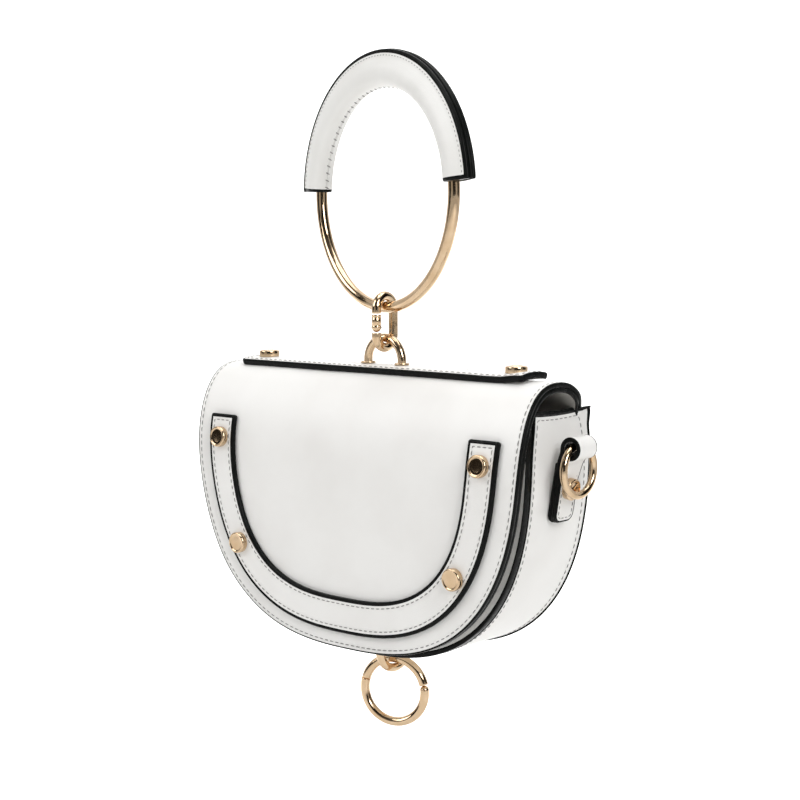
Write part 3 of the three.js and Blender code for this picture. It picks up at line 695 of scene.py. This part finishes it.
outer_part = evenly(strap_side(STRAP_OUTER), 1.0)
inner_part = evenly(strap_side(STRAP_INNER)[::-1], 1.0)
left_end = np.linspace(outer_part[-1], inner_part[0], 12)
right_end = np.linspace(inner_part[-1], outer_part[0], 12)
strap_parts = [outer_part, left_end, inner_part, right_end]
strap = leather_sheet(
    "strap_leather", joined(strap_parts, 1.4, 1.1), on_sheet, STRAP_OUT, 0.03, white, white, 2.2,
    seams=(STRAP_SEAM,), paint=1.75, soft=0.95,
)
settle(strap, "bag", "leather", "flap_strap")
strap_seam = joined(strap_parts, 3.8, 1.1)
strap_seam = strap_seam + inward(strap_seam) * STRAP_SEAM
strap_threads = stitch_row(strap_seam, on_sheet, STRAP_OUT - 0.02, pitch=3.1)
stitches("flap_stitches", flap_threads + strap_threads, "bag")

# Strip along the top, whose right end has lifted a little

def rectangle_sides(left, bottom, right, top, step):
    box = [(left, bottom), (right, bottom), (right, top), (left, top)]
    return [evenly([box[i], box[(i + 1) % 4]], step) for i in range(4)]


strip_half = float(np.interp(STRIP_WIDTH, ARCH[:, 0], ARCH_S))
strip_sides = rectangle_sides(-STRIP_LENGTH, -strip_half, STRIP_LENGTH, strip_half, 1.0)


def strip_lift(flat):
    x = flat[:, 0]
    t = np.clip((x - STRIP_LIFT_FROM) / 12, 0, 1)
    return 1.1 * t * t * (3 - 2 * t) - 0.12 * np.exp(-((x - 66) / 6) ** 2)


strip = leather_sheet(
    "strip_leather", joined(strip_sides, 2.6, 1.1), on_sheet, STRIP_TOP, 0.16, white, white, 2.2,
    seams=(STRIP_SEAM,), wave=strip_lift,
)
settle(strip, "bag", "leather", "top_strip")
strip_seam = joined(strip_sides, 4.2, 1.1)
strip_seam = strip_seam + inward(strip_seam) * STRIP_SEAM


def on_strip(u, v, out):
    flat = np.stack([np.atleast_1d(u), np.atleast_1d(v)], 1)
    return on_sheet(u, v, out + strip_lift(flat))


stitches("strip_stitches", stitch_row(strip_seam, on_strip, STRIP_TOP - 0.02), "bag")

# Front panel of the body, whose painted edge is the dark seam beside the gusset
moon = half_moon(BODY, 1.5)
moon = moon[moon[:, 1] < PANEL_TOP]
panel_curve = np.vstack([[(BODY[0], PANEL_TOP)], moon, [(-BODY[0], PANEL_TOP)]])
panel_top = evenly([panel_curve[-1], panel_curve[0]], 1.5)
panel_loop = joined([evenly(panel_curve, 1.5), panel_top], 2.0, 1.5)
panel_loop = panel_loop - inward(panel_loop) * 0.3


def on_panel(x, z, out):
    x, z, out = np.broadcast_arrays(np.asarray(x, float), z, out)
    return np.stack([x, -HALF_DEPTH - out, z], -1)


low_down = np.clip(inward(panel_loop)[:, 1], 0, 1)
panel = leather_sheet(
    "panel_leather", panel_loop, on_panel, -PANEL_FROM, -PANEL_TO, white, lining, 4.0,
    paint=PANEL_PAINT + PANEL_PAINT_BELOW * low_down ** 1.5, soft=0.35,
)
settle(panel, "bag", "leather", "front_panel")

# Gusset: w runs along the half-moon from its right top end to its left one
gusset_line = np.vstack([[(BODY[0], z) for z in np.arange(GUSSET_TOP, BODY[2], -0.5)], half_moon(BODY, 0.5)])
gusset_w = along(gusset_line)
gusset_normal = smoothed(normals(gusset_line), 13)
GUSSET_LENGTH = gusset_w[-1]


def gusset_front(z):
    return GUSSET_FRONT - HALF_DEPTH + GUSSET_CURL * np.exp(-((z - GUSSET_TOP) / 14.0) ** 2)


def gusset_point(w, y, out):
    w, y, out = np.broadcast_arrays(np.asarray(w, float), y, out)
    x = np.interp(w, gusset_w, gusset_line[:, 0])
    z = np.interp(w, gusset_w, gusset_line[:, 1])
    nx = np.interp(w, gusset_w, gusset_normal[:, 0])
    nz = np.interp(w, gusset_w, gusset_normal[:, 1])
    back = depth_at(z, -GUSSET_BACK, True)
    flare = np.clip((y - back + 4.2) / 3.0, 0, 1)
    front = gusset_front(z)
    lip = np.clip((front + 2.2 - y) / 2.0, 0, 1)
    top = np.exp(-((z - GUSSET_TOP) / 5.0) ** 2)
    far = np.clip((y - back + 4.5) / 4.5, 0, 1) ** 2 * np.clip(y, 0, 1)
    corner = top * far
    wide = np.exp(-((z - GUSSET_TOP) / 24.0) ** 2) * far
    move = 0.1 * flare * flare * (3 - 2 * flare) + 0.3 * lip * lip * (3 - 2 * lip)
    move = move + 1.5 * corner + 2.0 * wide
    thin = np.where(out < -0.5, np.clip(flare, 0, 1) * 1.35, 0.0)
    out = out + move + thin
    return np.stack([x + nx * out, y + 1.5 * corner, z + nz * out + 1.0 * corner], -1)


side_w = np.linspace(0, GUSSET_LENGTH, 420)
side_z = np.interp(side_w, gusset_w, gusset_line[:, 1])
front_edge = np.stack([side_w, gusset_front(side_z)], 1)
back_edge = np.stack([side_w, depth_at(side_z, -GUSSET_BACK, True)], 1)


def sagging(a, b, sign):
    f = np.linspace(0, 1, 24)[:, None]
    line = a + f * (b - a)
    line[:, 0] += sign * 0.7 * np.sin(math.pi * f[:, 0]) ** 0.8
    return line


gusset_parts = [
    evenly(front_edge, 1.2),
    sagging(front_edge[-1], back_edge[-1], -1),
    evenly(back_edge[::-1], 1.2),
    sagging(back_edge[0], front_edge[0], 1),
]
gusset_loop = joined(gusset_parts, 0.8, 1.2)
beads = []
for line in (gusset_parts[1], gusset_parts[3]):
    line = evenly(line, 0.7)
    centre = gusset_point(line[:, 0], line[:, 1], -0.75)
    swelling = np.sin(np.linspace(0, math.pi, len(line)))
    beads.append(tube(centre, 0.7 + 0.4 * np.clip(swelling * 6, 0, 1), (1, 0, 0), 16))
settle(new_piece("gusset_top_edge", *merged(beads), [black]), "bag", "edge")
at_back = gusset_loop[:, 1] > 20
gusset_paint = np.where(at_back, 0.32, np.where(np.abs(inward(gusset_loop)[:, 0]) > 0.7, 1.1, 0.75))
gusset = leather_sheet(
    "gusset_leather", gusset_loop, gusset_point, 0, -GUSSET_THICK, white, lining, 2.6,
    seams=(GUSSET_SEAM,), paint=gusset_paint, soft=0.6,
)
settle(gusset, "bag", "leather", "gusset")
gusset_seam = joined(gusset_parts, 4.0, 1.2)
gusset_seam = gusset_seam + inward(gusset_seam) * GUSSET_SEAM
stitches("gusset_stitches", stitch_row(gusset_seam, gusset_point, -0.02), "bag")

# Side tabs with a rolled loop at the top
ROLL_START = [(98.9, -39.4), (99.6, -36.6), (100.6, -33.4), (101.7, -30.6)]
ROLL_END = [(104.4, -33.1), (103.3, -34.8), (102.5, -37.0), (101.6, -39.6), (100.4, -42.8)]
for name, sign in (("left", -1), ("right", 1)):
    def tab_face(y, z, out, sign=sign):
        y, z, out = np.broadcast_arrays(np.asarray(y, float), z, out)
        x = TAB_FOOT + (z - TAB_BOTTOM) * TAB_LEAN + out
        return np.stack([sign * x, SIDE_Y + sign * y, z], -1)

    r = TAB_CORNER
    corner = np.linspace(0, math.pi / 2, 9)
    down = [(-TAB_HALF, TAB_TOP)]
    down += [(-TAB_HALF + r - r * math.cos(a), TAB_BOTTOM + r - r * math.sin(a)) for a in corner]
    down += [(TAB_HALF - r + r * math.sin(a), TAB_BOTTOM + r - r * math.cos(a)) for a in corner]
    down = evenly(down + [(TAB_HALF, TAB_TOP)], 0.8)
    tab_sides = [down, evenly([down[-1], down[0]], 0.8)]
    plate = leather_sheet(
        f"tab_plate_{name}", joined(tab_sides, 0.9, 0.8), tab_face, TAB_THICK, 0, white, white, 1.8,
        seams=(TAB_SEAM,), ridges=3,
    )
    settle(plate, "bag", "leather", f"side_tab_{name}")

    mid = (ROLL_BORE + ROLL_OUTER) / 2
    bend = np.radians(np.linspace(186, -104, 72))
    circle = np.stack([ROLL_X + mid * np.cos(bend), ROLL_Z + mid * np.sin(bend)], 1)
    path = evenly(np.vstack([ROLL_START, circle, ROLL_END]), 0.5)
    for _ in range(6):
        path[1:-1] = 0.5 * path[1:-1] + 0.25 * (path[:-2] + path[2:])
    path_d = along(path)

    def roll_point(u, y, out, sign=sign, path=path, d=path_d, normal=normals(path)):
        u, y, out = np.broadcast_arrays(np.asarray(u, float), y, out)
        x = np.interp(u, d, path[:, 0]) + out * np.interp(u, d, normal[:, 0])
        z = np.interp(u, d, path[:, 1]) + out * np.interp(u, d, normal[:, 1])
        return np.stack([sign * x, SIDE_Y - sign * y, z], -1)

    roll_sides = rectangle_sides(0, -TAB_HALF, path_d[-1], TAB_HALF, 0.8)
    half = (ROLL_OUTER - ROLL_BORE) / 2
    roll = leather_sheet(
        f"tab_roll_{name}", joined(roll_sides, 0.6, 0.8), roll_point, half, -half, white, black, 1.2,
        paint=0.8,
    )
    settle(roll, "bag", "leather", f"side_tab_{name}")
    tab_seam = joined(tab_sides, 3.0, 0.8)
    tab_threads = stitch_row(tab_seam + inward(tab_seam) * TAB_SEAM, tab_face, TAB_THICK - 0.02, pitch=2.6)
    across = evenly([(-4.4, CROSS_STITCH_Z), (4.4, CROSS_STITCH_Z)], 0.5)
    tab_threads += stitch_row(across, tab_face, TAB_THICK + 0.12, pitch=2.2, radius=0.3, closed=False)
    stitches(f"tab_stitches_{name}", tab_threads, "bag")

# Padded grip over the upper half of the handle
AXIS = np.array([-math.sin(HANDLE_TURN), math.cos(HANDLE_TURN), 0.0])
ALONG = np.array([math.cos(HANDLE_TURN), math.sin(HANDLE_TURN), 0.0])
UP = np.array([0.0, 0.0, 1.0])
MIDDLE = np.array([0.0, 0.0, HANDLE_CENTRE])


def handle_point(angle, out, across):
    """Angle in degrees round the handle, distances in millimetres outwards and along its axis."""
    a = np.radians(angle)
    r = HANDLE_RADIUS + out
    return (
        MIDDLE
        + (r * np.cos(a))[..., None] * ALONG
        + (r * np.sin(a))[..., None] * UP
        + np.asarray(across)[..., None] * AXIS
    )


def smooth_curve(points, count):
    """Even points on a curve through the given ones."""
    p = np.asarray(points, float)
    p = np.vstack([2 * p[0] - p[1], p, 2 * p[-1] - p[-2]])
    out = []
    for i in range(1, len(p) - 2):
        for t in np.linspace(0, 1, 12, endpoint=False):
            a, b, c, d = p[i - 1], p[i], p[i + 1], p[i + 2]
            square = (2 * a - 5 * b + 4 * c - d) * t * t
            cube = (3 * b - a - 3 * c + d) * t ** 3
            out.append(0.5 * (2 * b + (c - a) * t + square + cube))
    out.append(p[-2])
    return evenly(out, along(np.array(out))[-1] / count)


# Section of a grip half, as (distance outwards, distance along the axis)
GRIP_CROWN = [
    (-4.4, 0.1), (-4.25, 1.5), (-3.5, 3.2), (-2.0, 4.6), (0.2, 5.25),
    (3.4, 5.1), (6.4, 4.2), (9.2, 3.2), (11.6, 2.75), (12.0, 2.7),
]
GRIP_SKIN = smooth_curve(GRIP_CROWN, 34)
GRIP_LIP = [(12.35, 2.6), (12.62, 2.25), (12.7, 1.75), (12.6, 1.2), (12.3, 0.78)]
GRIP_INSIDE = [(9.0, 0.72), (3.4, 0.72), (2.6, 1.5), (0.0, 2.95), (-2.2, 1.95), (-3.0, 0.1)]


def grip_half(name, sign):
    section = np.vstack([GRIP_SKIN, GRIP_LIP, GRIP_INSIDE])
    first, last = GRIP_ENDS
    edge = math.degrees(1.5 / HANDLE_RADIUS)
    starts = [first, first + 0.25 * edge, first + 0.6 * edge, first + edge]
    stops = [last - edge, last - 0.6 * edge, last - 0.25 * edge, last]
    angles = np.r_[starts, np.linspace(first + edge, last - edge, 118)[1:-1], stops]
    tuck = np.zeros(len(angles))
    tuck[[0, -1]] = 0.42
    tuck[[1, -2]] = 0.12
    sections = []
    skin = len(GRIP_SKIN)
    for angle, pull in zip(angles, tuck):
        s = section.copy()
        soft = 0.10 * math.sin(angle * 0.33 + 1.2 * sign) + 0.05 * math.sin(angle * 0.91)
        bulge = np.exp(-((s[:skin, 0] - 1.0) / 3.0) ** 2)
        s[:skin, 1] += soft * bulge
        s[:skin + 5, 1] -= pull * np.clip(s[:skin + 5, 1] / 5, 0.2, 1)
        s[:skin, 0] += pull * np.clip(-s[:skin, 0] / 4.4, 0, 1)
        s[skin:skin + 5, 0] -= pull
        sections.append(handle_point(np.full(len(s), angle), s[:, 0], sign * s[:, 1]))
    verts, faces = swept(sections)
    faces = facing_out(verts, faces)
    count = len(section)
    kinds = []
    for f in faces:
        if len(f) > 4:
            kinds.append(1)
            continue
        rings = [i // count for i in f]
        spots = [i % count for i in f]
        end = max(rings) <= 3 or min(rings) >= len(angles) - 4
        lip = max(spots) >= skin - 2 and min(spots) >= skin - 4
        kinds.append(1 if end or lip else 0)
    return new_piece(name, verts, faces, [shaded_padded_white, black], kinds)


for name, sign in (("front", -1), ("back", 1)):
    half_grip = grip_half(f"grip_sleeve_{name}", sign)
    settle(half_grip, "handle", "leather", f"grip_{name}")

rim_section = np.array([
    (3.4, -0.66), (12.2, -0.66), (12.75, -0.45), (12.92, 0.0),
    (12.75, 0.45), (12.2, 0.66), (3.4, 0.66),
])
rim_rows = [
    handle_point(np.full(len(rim_section), angle), rim_section[:, 0], rim_section[:, 1])
    for angle in np.linspace(GRIP_ENDS[0] + 0.1, GRIP_ENDS[1] - 0.1, 120)
]
rim_verts, rim_faces = swept(rim_rows)
rim_piece = new_piece("grip_rim_edge", rim_verts, facing_out(rim_verts, rim_faces), [black])
settle(rim_piece, "handle", "edge", "grip_rim")

threads = []
for sign in (-1, 1):
    def on_grip(u, v, out, sign=sign):
        u, v, out = np.broadcast_arrays(np.asarray(u, float), v, out)
        across = np.interp(v, GRIP_SKIN[20:, 0], GRIP_SKIN[20:, 1]) + out
        return handle_point(np.degrees(u / HANDLE_RADIUS), v, sign * across)

    arc = np.radians(np.linspace(GRIP_ENDS[0] + 2, GRIP_ENDS[1] - 2, 300)) * HANDLE_RADIUS
    seam = np.stack([arc, np.full(len(arc), GRIP_SEAM)], 1)
    threads += stitch_row(seam, on_grip, 0.0, pitch=1.9, radius=0.17, closed=False, rise=0.02)
for angle in np.linspace(GRIP_ENDS[0] + 2.5, GRIP_ENDS[1] - 2.5, 42):
    f = np.linspace(-1, 1, 9)
    out = -4.55 + 0.4 * np.abs(f) ** 2.5
    centre = handle_point(np.full(9, angle) + f * 0.5, out, f * 1.05)
    taper = 0.26 * np.array([0.6, 1, 1, 1, 1, 1, 1, 1, 0.6])
    threads.append(tube(centre, taper, np.cross(AXIS, centre[4] - MIDDLE), sides=6))
stitches("grip_stitches", threads, "handle")

# Metal
ring_angles = np.linspace(0, 360, 160, endpoint=False)
ring = handle_point(ring_angles, 0 * ring_angles, 0 * ring_angles)
metal_piece("handle_ring_metal", [tube(ring, HANDLE_TUBE, AXIS, 36, closed=True)], "handle", ["handle_ring"])


def rivet(r, h):
    """Cap with a rounded shoulder and a shallow step inside its rim."""
    profile = [
        (r - 0.9, 0), (r - 0.25, 0.05), (r - 0.05, 0.2), (r, 0.45), (r, h - 0.75),
        (r - 0.06, h - 0.4), (r - 0.25, h - 0.12), (r - 0.5, h), (r - 0.8, h - 0.02), (r - 1.0, h - 0.14),
        (r - 1.15, h - 0.26), (r - 1.4, h - 0.3), (r * 0.5, h - 0.24), (0.2, h - 0.2),
    ]
    return turned(profile, 48)


cap = rivet(RIVET_RADIUS, RIVET_HEIGHT)
tab_cap = rivet(TAB_RIVET_RADIUS, TAB_RIVET_HEIGHT)
number = 1
for z, share in RIVET_PAIRS:
    nearer = float(half_width(STRAP_INNER, z))
    x = nearer + share * (float(half_width(STRAP_OUTER, z)) - nearer)
    s = float(front_s(z, RIVET_SEAT))
    seat = on_sheet(0, s, RIVET_SEAT - 0.25)
    tip = on_sheet(0, s, RIVET_SEAT + 1)
    for sign in (-1, 1):
        name = f"flap_rivet_{number}"
        foot = np.array([sign * x, seat[1], seat[2]])
        metal_piece(f"{name}_metal", [placed(cap, foot, tip - seat)], "bag", [name])
        number += 1
for name, sign in (("left", -1), ("right", 1)):
    shape = placed(cap, (sign * TOP_RIVET_X, 0, STRIP_TOP + 0.02), (0, 0, 1))
    metal_piece(f"top_rivet_{name}_metal", [shape], "bag", [f"top_rivet_{name}"])
    wall = TAB_FOOT + (TAB_RIVET_Z - TAB_BOTTOM) * TAB_LEAN + TAB_THICK
    foot = (sign * (wall - 0.25), SIDE_Y, TAB_RIVET_Z)
    shape = placed(tab_cap, foot, (sign, 0, -TAB_LEAN), (0, 1, 0))
    metal_piece(f"tab_rivet_{name}_metal", [shape], "bag", [f"tab_rivet_{name}"])


def staple_shape():
    """Round arch of wire on two flat feet, standing on +Z."""
    half = STAPLE_HALF
    spring = STAPLE_RISE - half
    points = [(half, 0, -0.2), (half, 0, 0.6)]
    for a in np.linspace(0, math.pi, 40):
        points.append((half * math.cos(a), 0, spring + half * math.sin(a)))
    points += [(-half, 0, 0.6), (-half, 0, -0.2)]
    groups = [tube(np.array(points), STAPLE_WIRE, (0, 1, 0), 28)]
    foot = [
        (3.1, -0.2), (3.45, -0.1), (3.5, 0.15), (3.5, 0.5),
        (3.38, 0.72), (3.1, 0.8), (2.5, 0.82), (1.0, 0.82),
    ]
    for sign in (-1, 1):
        groups.append(placed(turned(foot, 36), (sign * half, 0, 0), (0, 0, 1)))
    return merged(groups)


staple = staple_shape()
hook = placed(staple, (0, 0, STRIP_TOP + STAPLE_SEAT), (0, 0, 1))
metal_piece("top_staple_metal", [hook], "bag", ["top_staple"])
hook = placed(staple, (0, SIDE_Y, BAG_BOTTOM - STAPLE_SEAT), (0, 0, -1), (0, 1, 0))
metal_piece("bottom_staple_metal", [hook], "bag", ["bottom_staple"])

link_half = HANDLE_TUBE + WIRE + LINK_ROOM
nose = LINK_PIVOT + LINK_GATE
nose_gap = math.hypot(LINK_GATE, WIRE) - LINK_GATE + 0.15
top_centre = LINK_TOP - link_half
low_centre = LINK_BOTTOM + link_half
bends = np.linspace(0, math.pi, 40)
link_path = [(0, -link_half, z) for z in np.linspace(nose + nose_gap, top_centre, 4)[:-1]]
link_path += [(0, -link_half * math.cos(a), top_centre + link_half * math.sin(a)) for a in bends]
link_path += [(0, link_half * math.cos(a), low_centre - link_half * math.sin(a)) for a in bends]
link_path += [(0, -link_half, z) for z in np.linspace(low_centre, LINK_PIVOT - WIRE - 0.3, 4)[1:]]
metal_piece("link_metal", [tube(np.array(link_path), WIRE, (1, 0, 0), 32)], "link", ["link"])
heights = np.r_[LINK_PIVOT + np.array([0, 0.8, 0.95, 1.1, 4.6, 4.75, 4.9]), nose - 0.15, nose]
bar_path = np.stack([0 * heights, 0 * heights - link_half, heights], 1)
bar_sizes = np.array([2.2, 2.2, 2.02, 2.2, 2.2, 2.02, 2.2, 2.2, 2.08])
bar = tube(bar_path, bar_sizes, (1, 0, 0), 32, domes=(True, False))
bar_pin = turned([(0.5, -2.62), (0.8, -2.55), (0.9, -2.4), (0.9, 2.4), (0.8, 2.55), (0.5, 2.62)], 24)
bar_pin = placed(bar_pin, (0, -link_half, LINK_PIVOT), (1, 0, 0), (0, 1, 0))
metal_piece("link_gate_metal", [bar, bar_pin], "link_gate", ["link_gate"])

LOOP_AXIS = np.array([-math.sin(LOOP_TURN), math.cos(LOOP_TURN), 0.0])
LOOP_ALONG = np.array([math.cos(LOOP_TURN), math.sin(LOOP_TURN), 0.0])


def loop_points(angles):
    """Points on the lower ring's middle line, at angles in degrees."""
    a = np.radians(angles)[:, None]
    centre = np.array([0, SIDE_Y, LOOP_CENTRE])
    return centre + LOOP_RADIUS * (np.cos(a) * LOOP_ALONG + np.sin(a) * UP)


nose_room = math.degrees((WIRE + 0.3) / LOOP_RADIUS)
hinge_room = math.degrees(0.4 / LOOP_RADIUS)
upper = loop_points(np.linspace(LOOP_NOSE + nose_room, LOOP_HINGE, 70))
metal_piece("bottom_ring_metal", [tube(upper, WIRE, LOOP_AXIS, 30)], "lower_ring", ["bottom_ring"])
lower = loop_points(np.linspace(LOOP_NOSE, LOOP_HINGE + hinge_room - 360, 90))
gate_pin = turned([(0.4, -2.45), (0.75, -2.38), (0.8, -2.2), (0.8, 2.2), (0.75, 2.38), (0.4, 2.45)], 24)
gate_pin = placed(gate_pin, lower[0], LOOP_AXIS, UP)
gate = tube(lower, WIRE, LOOP_AXIS, 30, domes=(True, False))
metal_piece("bottom_gate_metal", [gate, gate_pin], "lower_ring_gate", ["bottom_gate"])

round_angles = np.linspace(0, 2 * math.pi, 90, endpoint=False)
ring_y = SIDE_Y + SIDE_RING_RADIUS * np.cos(round_angles)
ring_z = ROLL_Z + SIDE_RING_SAG - SIDE_RING_RADIUS + SIDE_RING_RADIUS * np.sin(round_angles)
for name, sign in (("left", -1), ("right", 1)):
    circle = np.stack([np.full(len(ring_y), sign * ROLL_X), ring_y, ring_z], 1)
    shape = tube(circle, SIDE_RING_WIRE, (1, 0, 0), 28, closed=True)
    metal_piece(f"side_ring_{name}_metal", [shape], f"side_ring_{name}", [f"side_ring_{name}"])

# Plain pale floor and backdrop in one sweep, with painted light: it glows behind the object in a band that
# fades to the sides, and glows far away
FLOOR_HALF = 7.0
floor_profile = [(-FLOOR_HALF, 0.0)]
floor_profile += [(1.2 + 0.9 * math.sin(a), 0.9 - 0.9 * math.cos(a)) for a in np.linspace(0, math.pi / 2, 14)]
floor_profile += [(2.1, 5.0)]
away = np.array([-math.sin(FLOOR_YAW), math.cos(FLOOR_YAW), 0])
right = np.array([math.cos(FLOOR_YAW), math.sin(FLOOR_YAW), 0])
floor_verts = [
    away * forward + right * sideways + np.array([0, 0, FLOOR_Z + high])
    for sideways in (-FLOOR_HALF, FLOOR_HALF)
    for forward, high in floor_profile
]
n = len(floor_profile)
floor_mesh = bpy.data.meshes.new("floor")
floor_faces = [(i, i + n, i + n + 1, i + 1) for i in range(n - 1)]
floor_mesh.from_pydata([tuple(v) for v in floor_verts], [], floor_faces)
floor_mesh.polygons.foreach_set("use_smooth", np.full(n - 1, True))
floor = bpy.data.objects.new("floor", floor_mesh)
bpy.context.scene.collection.objects.link(floor)
pale, floor_tree, floor_shader = material("pale_floor_painted_glow", (0.86, 0.86, 0.855), 0.6)
floor_shader.inputs["Emission Color"].default_value = (1, 1, 0.995, 1)
floor_place = floor_tree.nodes.new("ShaderNodeTexCoord")


def floor_share(output, start, full, low, high):
    node = floor_tree.nodes.new("ShaderNodeMapRange")
    node.interpolation_type = "SMOOTHSTEP"
    node.inputs["From Min"].default_value = start
    node.inputs["From Max"].default_value = full
    node.inputs["To Min"].default_value = low
    node.inputs["To Max"].default_value = high
    floor_tree.links.new(output, node.inputs["Value"])
    return node.outputs["Result"]


def floor_vector(operation, direction=None):
    node = floor_tree.nodes.new("ShaderNodeVectorMath")
    node.operation = operation
    if direction is not None:
        node.inputs[1].default_value = tuple(direction)
    floor_tree.links.new(floor_place.outputs["Object"], node.inputs[0])
    return node.outputs["Value"]


def floor_maths(operation, *values):
    node = floor_tree.nodes.new("ShaderNodeMath")
    node.operation = operation
    for i, value in enumerate(values):
        floor_tree.links.new(value, node.inputs[i])
    return node.outputs["Value"]


# Painted light: emission of the floor and backdrop, strong behind the object and far off, fading to nothing
# under it.
behind = floor_share(floor_vector("DOT_PRODUCT", away), 0.0, 0.4, 0.0, 0.8)
central = floor_share(floor_maths("ABSOLUTE", floor_vector("DOT_PRODUCT", right)), 0.8, 1.5, 1.0, 0.2)
distant = floor_share(floor_vector("LENGTH"), 1.2, 4.0, 0.0, 0.4)
painted_glow = floor_maths("MAXIMUM", floor_maths("MULTIPLY", behind, central), distant)
floor_tree.links.new(painted_glow, floor_shader.inputs["Emission Strength"])
floor_mesh.materials.append(pale)

# Soft studio light

def panel_light(name, place, target, size, power):
    light = bpy.data.lights.new(name, "AREA")
    light.shape = "RECTANGLE"
    light.size, light.size_y = size
    light.energy = power
    obj = bpy.data.objects.new(name, light)
    bpy.context.scene.collection.objects.link(obj)
    obj.location = place
    obj.rotation_euler = (Vector(target) - Vector(place)).to_track_quat("-Z", "Y").to_euler()


panel_light("key", (-0.9, -1.3, 0.8), (0, 0, -0.15), (1.1, 1.1), 14.5)
panel_light("fill", (1.6, -0.6, 0.75), (0, 0, -0.12), (0.8, 1.0), 20)
panel_light("top", (0.1, 0.1, 1.3), (0, 0, -0.1), (1.2, 1.2), 14)

world = bpy.data.worlds.new("studio")
world.use_nodes = True
sky = world.node_tree
direction = sky.nodes.new("ShaderNodeTexCoord")
split = sky.nodes.new("ShaderNodeSeparateXYZ")
sky.links.new(direction.outputs["Generated"], split.inputs["Vector"])
levels = [(0.0, 0.55), (0.14, 0.55), (0.24, 0.06), (0.75, 0.12), (1.0, 0.5)]
shade = ramp(sky, split.outputs["Z"], [(place, (value, value, value * 0.99)) for place, value in levels])
product = sky.nodes.new("ShaderNodeMath")
product.operation = "MULTIPLY"
sky.links.new(split.outputs["X"], product.inputs[0])
sky.links.new(split.outputs["Y"], product.inputs[1])
diagonal = sky.nodes.new("ShaderNodeMath")
diagonal.operation = "ABSOLUTE"
sky.links.new(product.outputs["Value"], diagonal.inputs[0])
windows = ramp(sky, diagonal.outputs["Value"], [(0.21, (1, 1, 1)), (0.34, (0.05, 0.045, 0.04))])
both = sky.nodes.new("ShaderNodeVectorMath")
both.operation = "MULTIPLY"
sky.links.new(shade, both.inputs[0])
sky.links.new(windows, both.inputs[1])
sky.links.new(both.outputs["Vector"], sky.nodes["Background"].inputs["Color"])
sky.nodes["Background"].inputs["Strength"].default_value = 0.8
bpy.context.scene.world = world
bpy.context.scene.view_settings.view_transform = "Standard"

# Camera at the photograph's angle
flat_share = math.cos(CAMERA_PITCH)
look_x = -math.sin(CAMERA_YAW) * flat_share
look_y = math.cos(CAMERA_YAW) * flat_share
look = Vector((look_x, look_y, -math.sin(CAMERA_PITCH)))
to_right = look.cross(Vector((0, 0, 1))).normalized()
upward = to_right.cross(look)
x_axis = to_right * math.cos(CAMERA_ROLL) + upward * math.sin(CAMERA_ROLL)
y_axis = -to_right * math.sin(CAMERA_ROLL) + upward * math.cos(CAMERA_ROLL)
lens = bpy.data.cameras.new("camera")
lens.sensor_width = SENSOR
lens.lens = FOCAL_PIXELS * SENSOR / IMAGE_PIXELS
camera = bpy.data.objects.new("camera", lens)
bpy.context.scene.collection.objects.link(camera)
facing = Matrix((x_axis, y_axis, -look)).transposed().to_4x4()
camera.matrix_world = Matrix.Translation(CAMERA_PLACE) @ facing
bpy.context.scene.camera = camera

bpy.context.view_layer.update()
